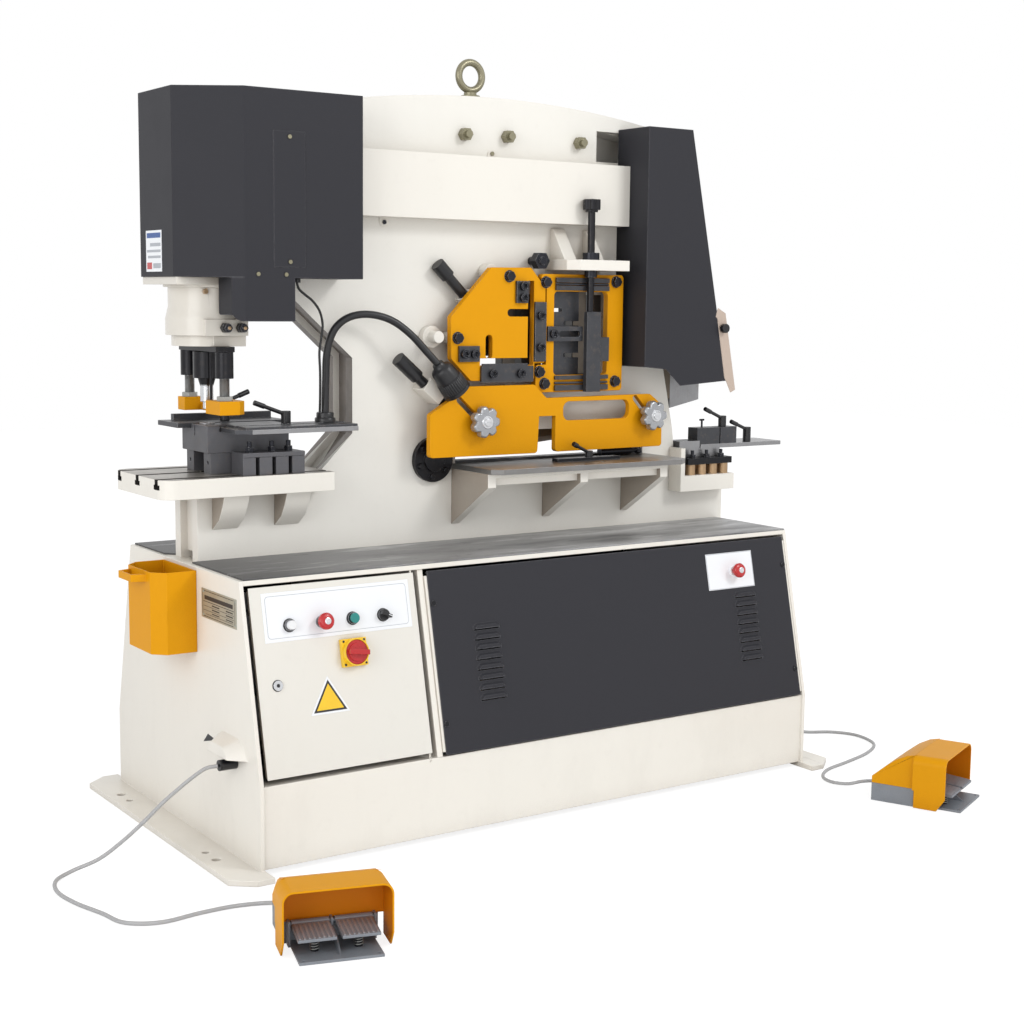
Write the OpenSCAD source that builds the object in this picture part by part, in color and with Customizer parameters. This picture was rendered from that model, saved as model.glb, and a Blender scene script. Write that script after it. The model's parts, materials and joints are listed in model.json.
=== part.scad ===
// Hydraulic ironworker with punch, angle, bar, flat and notching stations, in millimetres.
// X runs along the front, the operator stands at -Y, and Z is up from the floor.
// The origin is the middle of the four anchor holes, on the floor.

/* [Base] */
// Length over the two side panels of the base
base_length = 1700; // [1500:10:2000]
// Depth of the base at its top
base_depth_top = 662; // [560:2:760]
// Depth of the base below the slope
base_depth_low = 868; // [760:2:960]
// Height of the top of the base
base_height = 670; // [600:1:760]
// Height where the slope meets the plinth
kink_height = 209; // [150:1:300]
// Thickness of the side panels
side_plate = 10; // [6:1:16]
// Thickness of the top plate
top_plate = 12; // [8:1:20]
// Thickness of the floor flanges
flange_plate = 14; // [10:1:20]
// How far the floor flanges stand out at each end
flange_reach = 85; // [60:1:110]
// How far the anchor holes are outside the side panels
anchor_reach = 50; // [40:1:60]
// Distance between the anchor holes along Y
anchor_pitch_y = 600; // [500:2:700]
// Diameter of an anchor hole
anchor_hole = 22; // [16:0.5:28]
// Thickness of the rubber mats
mat_thick = 4; // [2:0.5:8]
// Thickness of the sheet panels
sheet = 2.5; // [1.5:0.5:4]

/* [Frame] */
// Thickness of each frame plate
frame_plate = 32; // [20:1:40]
// Room between the two frame plates
frame_gap = 72; // [60:1:90]
// How far the front face of the frame is ahead of the middle of the base
frame_front = 34; // [20:1:60]
// Height of the highest point of the frame
frame_top = 1842; // [1700:1:1950]
// Radius of the curved top edge
top_radius = 3030; // [2000:10:5000]
// X of the back of the punch throat
throat_x = -392; // [-450:1:-340]
// X of the lifting eye
eye_x = 3; // [-60:1:60]
// Pivot of the shear beam, X
pivot_x = -156; // [-200:1:-120]
// Pivot of the shear beam, Z
pivot_z = 893; // [870:1:920]
// Diameter of the pivot pin
pivot_pin_d = 60; // [40:1:80]
// Thickness of the shear beam
beam_thick = 60; // [50:1:66]

/* [Punch station] */
// X of the punch
punch_x = -761; // [-800:1:-720]
// Diameter of the punch shank
punch_d = 20; // [12:0.5:30]
// Distance of each stripper stud from the punch
stud_reach = 104; // [90:1:120]
// Height of the T-slotted table
table_top = 885; // [860:1:910]
// Thickness of the T-slotted table
table_thick = 47; // [35:1:60]
// Width of a table T-slot at its mouth
slot_mouth = 18; // [14:0.5:20]
// Width of a table T-slot below the mouth
slot_wide = 30; // [26:1:34]
// Distance between the table T-slots
slot_pitch = 118; // [100:1:124]
// Height of the work over the T-slotted table
work_rise = 120; // [100:1:140]

/* [Controls] */
// Diameter of an emergency stop head
stop_d = 40; // [32:1:50]
// Diameter of a start button
start_d = 24; // [20:1:30]
// Side of the isolator plate
isolator_side = 66; // [60:1:80]
// Distance between the control devices
device_pitch = 83; // [70:1:90]

/* [Pedals] */
// Width of a double foot switch
pedal_width = 230; // [210:2:250]
// Depth of a double foot switch
pedal_depth = 202; // [180:2:230]
// Height of the hood of a foot switch
pedal_height = 140; // [120:1:170]
// Diameter of a pedal cable
pedal_cable_d = 10; // [8:0.5:14]

/* [Hidden] */
// Clearance of a turning or sliding fit, on the radius
fit = 0.08;
// Clearance between faces that pass one another
pass_gap = 1;
$fn = 48;

half_l = base_length / 2;
anchor_pitch_x = base_length + 2 * anchor_reach;
half_top = base_depth_top / 2;
half_low = base_depth_low / 2;
slope = atan2(half_low - half_top, base_height - kink_height);
slope_len = (base_height - kink_height) / cos(slope);
front_face = -frame_front;
front_back = front_face + frame_plate;
rear_front = front_back + frame_gap;
rear_back = rear_front + frame_plate;
mid_y = (front_face + rear_back) / 2;
beam_y0 = mid_y - beam_thick / 2;
beam_y1 = mid_y + beam_thick / 2;
mat_top = base_height + mat_thick;
table_low = table_top - table_thick;
work_height = table_top + work_rise;

cream = [0.93, 0.91, 0.85];
black = [0.10, 0.10, 0.11];
dark = [0.25, 0.25, 0.27];
yellow = [0.95, 0.67, 0.08];
steel = [0.66, 0.68, 0.70];
grey = [0.42, 0.43, 0.46];
red = [0.80, 0.10, 0.10];

// ---- shapes placed by their limits -------------------------------------------------
module block(x0, x1, y0, y1, z0, z1)
  translate([x0, y0, z0])
    cube([x1 - x0, y1 - y0, z1 - z0]);

// A 2D shape drawn in X and Z, made solid from y0 to y1
module slab(y0, y1)
  translate([0, y1, 0])
    rotate([90, 0, 0])
      linear_extrude(y1 - y0)
        children();

// A 2D shape drawn in Y and Z, made solid from x0 to x1
module wall(x0, x1)
  translate([x0, 0, 0])
    rotate([90, 0, 90])
      linear_extrude(x1 - x0)
        children();

// A 2D shape drawn in X and Y, made solid from z0 to z1
module deck(z0, z1)
  translate([0, 0, z0])
    linear_extrude(z1 - z0)
      children();

module rod_x(y, z, x0, x1, d)
  translate([x0, y, z])
    rotate([0, 90, 0])
      cylinder(h = x1 - x0, d = d);

module rod_y(x, z, y0, y1, d)
  translate([x, y1, z])
    rotate([90, 0, 0])
      cylinder(h = y1 - y0, d = d);

module rod_z(x, y, z0, z1, d)
  translate([x, y, z0])
    cylinder(h = z1 - z0, d = d);

module nut_z(x, y, z0, z1, af)
  translate([x, y, z0])
    cylinder(h = z1 - z0, d = af / cos(30), $fn = 6);

module nut_y(x, z, y0, y1, af)
  translate([x, y1, z])
    rotate([90, 0, 0])
      cylinder(h = y1 - y0, d = af / cos(30), $fn = 6);

// Local frame of the sloping front: X along, Z up the slope, Y into the base
module on_front()
  translate([0, -half_low, kink_height])
    rotate([-slope, 0, 0])
      children();

// The same frame on the back of the base, turned half round
module on_back()
  rotate([0, 0, 180])
    on_front()
      children();

// Slot with round ends in X and Z, from (x0, z0) to (x1, z1)
module slot_2d(x0, z0, x1, z1, w) {
  len = norm([x1 - x0, z1 - z0]);
  translate([x0, z0])
    rotate(atan2(z1 - z0, x1 - x0)) {
      translate([0, -w / 2])
        square([len, w]);
      circle(d = w);
      translate([len, 0])
        circle(d = w);
    }
}

// ---- base ---------------------------------------------------------------------------
module side_outline(inset)
  polygon([
    [-half_low + inset, flange_plate], [-half_low + inset, kink_height],
    [-half_top + inset, base_height - inset], [half_top - inset, base_height - inset],
    [half_low - inset, kink_height], [half_low - inset, flange_plate]]);

// X limits of the door opening and of the service panel
door_x0 = -half_l + 17;
door_x1 = -378;
panel_x0 = -352;
panel_x1 = half_l - 18;
panel_u0 = 4;
panel_u1 = floor(slope_len) - 17;
door_gap = 11;
door_left_gap = 5;
door_u0 = 15;
pivot_door_x = door_x1 - door_gap - 5;
pivot_door_y = 8;
pivot_door_d = 5;
jack_hole_y = 240;
jack_hole_d = 17.5;
cable_hole_y = -305;
cable_hole_z = 239;
cable_hole_d = 20;
cable_y_right = -120;

module floor_flange()
  difference() {
    deck(0, flange_plate)
      polygon([
        [half_l - 12, -half_low - 50], [half_l + 32, -half_low - 50],
        [half_l + flange_reach, -half_low - 7], [half_l + flange_reach, half_low + 7],
        [half_l + 32, half_low + 50], [half_l - 12, half_low + 50]]);
    for (s = [-1, 1]) {
      rod_z(anchor_pitch_x / 2, s * anchor_pitch_y / 2, -1, flange_plate + 1, anchor_hole);
      rod_z(anchor_pitch_x / 2, s * jack_hole_y, -1, flange_plate + 1, jack_hole_d);
    }
  }

module cable_cowl()
  translate([-half_l, cable_hole_y + 28, cable_hole_z + 17])
    rotate([0, -90, 0])
      difference() {
        linear_extrude(36, scale = 0.6)
          polygon([[0, -91], [0, 91], [30, 72], [44, 44], [44, -44], [30, -72]]);
        translate([-3, 0, -0.5])
          linear_extrude(34, scale = 0.6)
            polygon([[0, -87], [0, 87], [31, 69], [44, 42], [44, -42], [31, -69]]);
      }

module base_shell() {
  for (s = [-1, 1])
    wall(s > 0 ? half_l - side_plate : -half_l, s > 0 ? half_l : -half_l + side_plate)
      side_outline(0);
  block(-half_l + side_plate, half_l - side_plate, -half_top, half_top,
    base_height - top_plate, base_height);
  // plinth and back wall, a little inside the edges of the side panels
  for (s = [0, 180])
    rotate([0, 0, s]) {
      block(-half_l + side_plate, half_l - side_plate, -half_low + 6, -half_low + 12,
        flange_plate, kink_height);
      block(-half_l + side_plate, half_l - side_plate, -half_low + 12, -half_low + 48,
        kink_height - 6, kink_height);
    }
  block(-half_l + side_plate, half_l - side_plate, -half_low + 12, half_low - 12,
    flange_plate, flange_plate + 8);
  // posts that the service panels are screwed to
  on_front()
    for (x = [[panel_x0 - 6, panel_x0 + 24], [half_l - side_plate - 32, half_l - side_plate]])
      block(x[0], x[1], sheet - 0.5, 14, 12, panel_u1 - 11);
  on_back()
    for (x = [[-half_l + side_plate, -half_l + side_plate + 32],
         [half_l - side_plate - 32, half_l - side_plate]])
      block(x[0], x[1], sheet - 0.5, 14, 12, panel_u1 - 11);
  // pivot pins of the door, below and above it
  on_front() {
    rod_z(pivot_door_x, pivot_door_y, -3, door_u0 + 14, pivot_door_d);
    rod_z(pivot_door_x, pivot_door_y, panel_u1 - 15, slope_len - 6, pivot_door_d);
  }
  // bulkhead between the electrics and the pump room
  wall(door_x1 + 4, panel_x0 - 6)
    offset(delta = -0.01)
      side_outline(7);
  // floor flanges
  floor_flange();
  mirror([1, 0, 0])
    floor_flange();
}

module base_cabinet() {
  color(cream) {
    difference() {
      base_shell();
      rod_x(cable_hole_y, cable_hole_z, -half_l - 1, -half_l + side_plate + 1, cable_hole_d);
      rod_x(cable_y_right, 120, half_l - side_plate - 1, half_l + 1, cable_hole_d);
    }
    cable_cowl();
  }
}

module top_mats()
  color(black)
    deck(base_height, mat_top) {
      polygon([
        [-half_l + 12, -half_top + 1], [half_l - 2, -half_top + 1],
        [half_l - 2, front_face - 1], [-half_l + 14, front_face - 1]]);
      polygon([
        [-half_l + 12, rear_back + 30], [-half_l + 40, rear_back + 1],
        [half_l - 2, rear_back + 1], [half_l - 2, half_top - 1], [-half_l + 12, half_top - 1]]);
    }

// Eight pressed louvres one above another, open at their lower edges
louvre_pitch = 25;
louvre_count = 8;
louvre_rise = 7;
louvre_wall = 1.5;
louvre_low = 124;

module louvre_2d(low, inset)
  polygon([
    [-40 + inset, low], [40 - inset, low], [40 - inset, 6], [31, 15 - inset], [-31, 15 - inset],
    [-40 + inset, 6]]);

module louvre_stack(x, y, rise, low, inset)
  for (i = [0:louvre_count - 1])
    translate([x + 40, y, louvre_low + i * louvre_pitch])
      rotate([90, 0, 0])
        linear_extrude(rise, scale = [0.88, 0.6], slices = 1, segments = 1)
          louvre_2d(low, inset);

panel_screw_in = 9;
panel_screw_low = 79;
panel_screw_high = panel_u1 - 80;

module service_panel(x0, x1, lou)
  difference() {
    union() {
      block(x0, x1, -0.5, sheet - 0.5, panel_u0, panel_u1);
      block(x0 + 4, x1 - 4, sheet - 0.5, 16, panel_u0 + 1, panel_u0 + 4);
      block(x0 + 4, x1 - 4, sheet - 0.5, 16, panel_u1 - 6, panel_u1 - 3);
      for (x = lou)
        louvre_stack(x, 0, louvre_rise, 0, 0);
    }
    for (x = lou)
      louvre_stack(x, sheet, louvre_rise + sheet - louvre_wall, -3, louvre_wall);
    // room for the screws and for the stop button
    for (x = [x0 + panel_screw_in, x1 - panel_screw_in], u = [panel_screw_low, panel_screw_high])
      rod_y(x, u, -2, 4, 6.4);
  }

stop_b_x = 634;
stop_b_u = panel_u1 - 83;
module service_panels()
  color(dark) {
    on_front()
      difference() {
        service_panel(panel_x0, panel_x1, [-237, 628]);
        rod_y(stop_b_x, stop_b_u, -2, 6, 23);
      }
    on_back()
      difference() {
        service_panel(-half_l + side_plate + 4, half_l - side_plate - 4, [-560, 480]);
        // room for the bulkhead
        block(-panel_x0 + 5, -door_x1 - 3, sheet - 0.5, 17, 0, panel_u1);
      }
  }

// ---- door of the electrics -----------------------------------------------------------
device_u = panel_u1 - 94;
device_x0 = -734;
lock_x = -779;
lock_u = panel_u1 - 229;
isolator_x = -577;
isolator_u = panel_u1 - 174;
control_x0 = -799;
control_x1 = -407;
control_u0 = panel_u1 - 130;
control_u1 = panel_u1 - 15;
panel_hole_d = 22.5;
door_skin = 3;
door_front = 3;

module cabinet_door()
  color(cream)
    on_front()
      difference() {
        union() {
          block(door_x0 + door_left_gap, door_x1 - door_gap, door_front, door_front + sheet,
            door_u0, panel_u1);
          difference() {
            block(door_x0 + door_left_gap + 4, door_x1 - door_gap - 4, door_front + sheet, 22,
              door_u0 + 4, panel_u1 - 6);
            block(door_x0 + door_left_gap + 7, door_x1 - door_gap - 7, door_front + sheet - 1, 23,
              door_u0 + 7, panel_u1 - 9);
          }
          for (u = [door_u0 + 4, panel_u1 - 18])
            block(pivot_door_x - 8, pivot_door_x + 3, door_front + sheet - 0.5, 13,
              u, u + 12);
        }
        for (i = [0:3])
          rod_y(device_x0 + i * device_pitch, device_u, 0, 8, panel_hole_d);
        rod_y(isolator_x, isolator_u, 0, 8, 12);
        rod_y(lock_x, lock_u, 0, 8, 19);
        rod_z(pivot_door_x, pivot_door_y, 0, door_u0 + 17, pivot_door_d + 2 * fit);
        rod_z(pivot_door_x, pivot_door_y, panel_u1 - 19, panel_u1, pivot_door_d + 2 * fit);
      }

module control_plate()
  color(cream)
    on_front() {
      difference() {
        slab(door_front - 1, door_front)
          polygon([
            [control_x0, control_u0], [control_x1, control_u0],
            [control_x1, control_u1], [control_x0, control_u1]]);
        for (i = [0:3])
          rod_y(device_x0 + i * device_pitch, device_u, -2, 8, panel_hole_d);
      }
      // collars of the four devices, and the lamp
      for (i = [0:3])
        translate([device_x0 + i * device_pitch, 0, device_u])
          device_collar(i);
      rod_y(device_x0, device_u, -16, 30, 21);
    }

module device_collar(i)
  difference() {
    union() {
      rod_y(0, 0, door_front - 8, door_front - 1, 29);
      rod_y(0, 0, door_front + sheet + 0.2, 32, 28);
      rod_y(0, 0, door_front - 1, door_front + sheet + 0.2, panel_hole_d - 0.4);
    }
    rod_y(0, 0, -9, 34, i == 0 ? 21 : 19);
  }

module door_plates() {
  control_plate();
  color(yellow)
    on_front() {
      difference() {
        block(isolator_x - isolator_side / 2, isolator_x + isolator_side / 2,
          door_front - 12, door_front,
          isolator_u - isolator_side / 2, isolator_u + isolator_side / 2);
        rod_y(isolator_x, isolator_u, door_front - 14, door_front + 1, 12);
        rod_y(isolator_x, isolator_u, door_front - 14, door_front - 10, 59);
      }
      // blank three-cornered plate
      slab(door_front - 0.8, door_front)
        polygon([[-703, 146], [-599, 146], [-651, 234]]);
    }
}

module isolator_handle()
  color(red)
    on_front()
      translate([isolator_x, 0, isolator_u]) {
        rod_y(0, 0, door_front - 22, door_front - 10.5, 58);
        rod_y(0, 0, door_front - 26, door_front - 22, 44);
        rotate([0, 8, 0])
          block(-26, 26, door_front - 40, door_front - 20, -6, 6);
        rod_y(0, 0, door_front - 10.5, door_front + 30, 11.6);
      }

module door_lock()
  color(steel)
    on_front()
      translate([lock_x, 0, lock_u]) {
        difference() {
          rod_y(0, 0, door_front - 4, door_front, 24);
          nut_y(0, 0, door_front - 5, door_front - 1, 8);
        }
        rod_y(0, 0, door_front, 24, 18.6);
        block(-42, 10, 24, 28, -9, 9);
      }

module mushroom_button(y_seat) {
  translate([0, y_seat, 0])
    rotate([90, 0, 0])
      rotate_extrude()
        polygon([
          [0, -20], [9, -20], [9, 6], [stop_d / 2 - 4, 10], [stop_d / 2, 15],
          [stop_d / 2, 21], [stop_d / 2 - 3, 25], [9, 28], [0, 28]]);
}

module stop_button_a()
  color(red)
    on_front()
      translate([device_x0 + device_pitch, 0, device_u])
        mushroom_button(door_front - 8);

module start_button()
  color([0.05, 0.50, 0.45])
    on_front()
      translate([device_x0 + 2 * device_pitch, 0, device_u]) {
        rod_y(0, 0, door_front - 16, door_front - 12, start_d);
        rod_y(0, 0, door_front - 12, 20, 18.6);
      }

module mode_selector()
  color(black)
    on_front()
      translate([device_x0 + 3 * device_pitch, 0, device_u])
        rotate([0, 25, 0]) {
          rod_y(0, 0, door_front - 12, door_front - 8.5, 27);
          block(-14, 14, door_front - 25, door_front - 12, -4, 4);
          rod_y(0, 0, door_front - 8.5, 20, 18.6);
        }

module stop_button_b()
  color(red)
    on_front()
      translate([stop_b_x, 0, stop_b_u])
        mushroom_button(-9.5);

gear_x = -half_l + side_plate + 20;
module control_gear()
  color([0.75, 0.76, 0.78]) {
    // mounting plate with rails, relays, a transformer and wiring ducts
    block(-half_l + side_plate, door_x1 + 4, -110, -107, 240, 600);
    block(gear_x + 10, gear_x + 410, -118, -110, 500, 535);
    for (i = [0:5])
      block(gear_x + 25 + i * 58, gear_x + 69 + i * 58, -188, -118, 478, 558);
    block(gear_x + 20, gear_x + 130, -190, -110, 260, 360);
    block(gear_x + 160, gear_x + 400, -150, -110, 400, 440);
    for (i = [0:3])
      block(gear_x + 170 + i * 56, gear_x + 216 + i * 56, -170, -110, 280, 360);
    block(gear_x, gear_x + 420, -107, -96, 240, 260);
  }

// ---- blank plates and the bin ----------------------------------------------------------
module blank_plates()
  color(steel) {
    // rating plate on the left end, with its four rivets
    block(-half_l - 1.5, -half_l, -318, -124, 556, 626);
    for (y = [-308, -134], z = [563, 619])
      rod_x(y, z, -half_l - 3, -half_l - 1.5, 6);
    // plate behind the stop button of the service panel
    on_front() {
      difference() {
        block(540, 708, -1.7, -0.5, 325, 425);
        rod_y(stop_b_x, stop_b_u, -3, 6, 23);
      }
      translate([stop_b_x, 0, stop_b_u])
        difference() {
          union() {
            rod_y(0, 0, -9, -1.7, 29);
            rod_y(0, 0, -1.7, sheet, 22.4);
            rod_y(0, 0, sheet, 30, 28);
          }
          rod_y(0, 0, -10, 34, 19);
        }
    }
    // plate on the left wall of the punch cover
    block(cover_x0 - 1, cover_x0, 0, 96, 1372, 1470);
  }

bin_top = base_height - 8;
bin_low = bin_top - 199;
bin_out = -half_l - 106;
bin_bend = -half_l - 76;
module bin_outline(inset)
  polygon([
    [-half_l - inset, -93 + inset], [bin_bend + inset * 0.4, -93 + inset],
    [bin_out + inset, -63 + inset * 0.4], [bin_out + inset, 75 - inset * 0.4],
    [bin_bend + inset * 0.4, 105 - inset], [-half_l - inset, 105 - inset]]);

module scrap_bin()
  color(yellow) {
    difference() {
      deck(bin_low, bin_top)
        bin_outline(0);
      deck(bin_low + sheet, bin_top + 1)
        bin_outline(sheet);
    }
    // carrying loop on the outer wall
    difference() {
      deck(bin_top - 26, bin_top - 8)
        polygon([[bin_out, -40], [bin_out - 34, -28], [bin_out - 34, 52], [bin_out, 64]]);
      deck(bin_top - 27, bin_top - 7)
        polygon([[bin_out + 1, -34], [bin_out - 29, -23], [bin_out - 29, 47], [bin_out + 1, 58]]);
    }
  }

// ---- frame -------------------------------------------------------------------------------
function arc_z(x) = frame_top - top_radius + sqrt(top_radius * top_radius - (x - 50) * (x - 50));
jaw_low = 1335;
jaw_x = -640;
foot_x0 = -820;
foot_x1 = 868;
frame_right = 600;
frame_outline = concat(
  [
    [foot_x0, base_height], [foot_x1, base_height], [foot_x1, 765], [676, 765],
    [676, 900], [670, 947], [637, 1094], [frame_right, 1260], [frame_right, arc_z(frame_right)]],
  [for (i = [1:20]) [frame_right - i * 51, arc_z(frame_right - i * 51)]],
  [
    [-440, 1770], [jaw_x, 1755], [jaw_x, jaw_low], [-585, jaw_low], [throat_x, 1163],
    [throat_x, 971], [-525, 838], [foot_x0, 838]]);

// Seat of the lower blade of the flat shear
lower_blade_z = 850;
lower_blade_top = 886;

// L-shaped opening where an angle goes through, and its corner
angle_x = 127;
angle_z = 1141;
bar_win = [194, 376, 1112, 1338];

module station_openings(grow) {
  // angle: upright leg and flat leg
  translate([angle_x - 16 - grow, angle_z - grow])
    square([16 + 2 * grow, 224 + 2 * grow]);
  translate([-60 - grow, angle_z - grow])
    square([187 + 2 * grow, 19 + 2 * grow]);
  // bars
  translate([bar_win[0] + 8 - grow, bar_win[2] + 4 - grow])
    square([bar_win[1] - bar_win[0] - 16 + 2 * grow, bar_win[3] - bar_win[2] - 8 + 2 * grow]);
}

module frame_sheet(is_front)
  difference() {
    polygon(frame_outline);
    station_openings(is_front ? 4 : 10);
    // flats go through over the long lower blade
    translate([-80, lower_blade_z])
      square([640, 961 - lower_blade_z]);
    translate([pivot_x, pivot_z])
      circle(d = pivot_pin_d + 2 * fit);
    // room for the shear cylinder behind its cover
    translate([480, 1345])
      square([frame_right - 480 + 1, 360]);
    if (is_front)
      translate([375, 1695])
        square([frame_right - 374, 83]);
  }

module ring_2d(out, in)
  difference() {
    offset(delta = -out)
      polygon(frame_outline);
    offset(delta = -in)
      polygon(frame_outline);
  }

module frame()
  color(cream) {
    slab(front_face, front_back)
      frame_sheet(true);
    slab(rear_front, rear_back)
      frame_sheet(false);
    // web between the plates, left open where the beam swings out at the right
    slab(front_back, rear_front)
      difference() {
        ring_2d(18, 40);
        translate([420, 880])
          square([500, 840]);
        translate([-700, 1700])
          square([90, 100]);
        translate([-80, 890])
          square([640, 80]);
      }
    // seat of the lifting eye between the plates
    block(eye_x - 46, eye_x + 46, front_back, rear_front, arc_z(eye_x) - 60, arc_z(eye_x) - 0.5);
    // seat of the punch housing at the end of the upper jaw
    block(jaw_x - 30, jaw_x, mid_y - 84, mid_y + 84, 1380, 1740);
  }

// ---- frame fittings --------------------------------------------------------------------
screw_x = 301;
screw_y = -116;
bush_d = 30;
screw_d = 20;
bracket_z0 = 1395;
bracket_z1 = 1423;
knob_a = [-57, 996];
knob_b = [510, 996];
guard_y0 = -116;
guard_y1 = -98;
plate_y0 = -97;
plate_y1 = -87;
shim = 1.2;
back_y1 = -77;
stay_spots = [[46, 1376], [-115, 1214], [403, 1366], [404, 1092], [146, 1122], [165, 1362]];
short_bolt = [163, 1090];
bolt_spots = concat(stay_spots, [short_bolt]);
plate_bolt_d = 16;
plate_bolt_af = 24;
plate_bolt_head = 12;
clamp_screw_d = 27;
table_front = -236;
shear_top = 880;
shear_low = 866;

module gusset(x)
  wall(x, x + 26)
    polygon([
      [front_face, shear_low - 12], [table_front + 24, shear_low - 12],
      [table_front + 24, shear_low - 36], [front_face, 716]]);

module frame_brackets()
  color(cream) {
    // hold-down bracket and its two webs
    difference() {
      deck(bracket_z0, bracket_z1)
        polygon([
          [205, front_face], [205, -136], [232, -164], [398, -164], [398, front_face]]);
      rod_z(screw_x, screw_y, bracket_z0 - 1, bracket_z1 + 1, bush_d + 0.4);
    }
    for (x = [[222, 262], [332, 356]])
      wall(x[0], x[1])
        polygon([
          [front_face, bracket_z1], [front_face - 70, bracket_z1],
          [front_face - 12, bracket_z1 + 84], [front_face, bracket_z1 + 84]]);
    // stays that carry the yellow plates
    for (p = stay_spots)
      difference() {
        rod_y(p[0], p[1], back_y1, front_face, 30);
        rod_y(p[0], p[1], back_y1 - 1, back_y1 + 26, plate_bolt_d + 0.2);
      }
    // round bosses of the two inclined screws
    rod_y(-166, 1216, -56, front_face, 58);
    rod_y(-166, 1216, -88, -56, 32);
    rod_y(8, 1388, -70, front_face, 40);
    // studs and stays of the flat guard
    for (k = [knob_a, knob_b]) {
      rod_y(k[0], k[1], guard_y1, front_face, 34);
      rod_y(k[0], k[1], guard_y0 - 40, guard_y1, 15.8);
    }
    // brackets and edge bar under the flat table
    gusset(-92);
    gusset(206);
    gusset(482);
    block(-66, 482, table_front + 40, table_front + 50, shear_low - 32, shear_low - 12);
    block(-92, 508, table_front + 24, front_face, shear_low - 12, shear_low);
    // brackets under the punch table
    for (x = [-782, -615])
      wall(x, x + 68)
        polygon([
          [front_face, table_low], [front_face - 74, table_low],
          [front_face - 60, table_low - 30], [front_face - 40, table_low - 62],
          [front_face, table_low - 90]]);
    // carrier of the lower inclined screw
    translate([-180, 0, 1076])
      rotate([0, 40, 0])
        difference() {
          block(-31, 31, -94, front_face, -19, 19);
          rod_x(plate_screw_y, 0, -32, 32, clamp_screw_d + 2 * fit);
        }
    // carrier of the upper inclined screw
    translate([-58, 0, 1313])
      rotate([0, 44, 0])
        difference() {
          block(-20, 20, -74, front_face, -19, 19);
          rod_x(angle_screw_y, 0, -32, 32, clamp_screw_d + 2 * fit);
        }
  }

module hex_bolt_y(x, z, y_face, af, head, shank_d, shank_end) {
  nut_y(x, z, y_face - head, y_face, af);
  rod_y(x, z, y_face - 1.2, y_face, af * 1.35);
  rod_y(x, z, y_face, shank_end, shank_d);
}

module socket_screw_y(x, z, y_face, d, head) {
  difference() {
    rod_y(x, z, y_face - head, y_face, d * 1.5);
    nut_y(x, z, y_face - head - 1, y_face - head * 0.4, d * 0.875);
  }
  rod_y(x, z, y_face, y_face + 5, d);
}

blade_face = plate_y0 - 8;
slot_y0 = mid_y - slot_pitch;
clamp_top = 940;
die_clamp_top = 861;
yoke_top = 1065;
stud_d = 24;
plate_screw_y = -76;
angle_screw_y = -56;
screw_spots = [
  [86, 1350], [86, 1320], [144, 1273], [144, 1188], [-98, 1172], [-67, 1172], [-10, 1119],
  [80, 1119], [186, 1224]];
clamp_bolts_x = [-704, -644, -599];
notch_bolts_x = [716, 770, 826];

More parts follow.
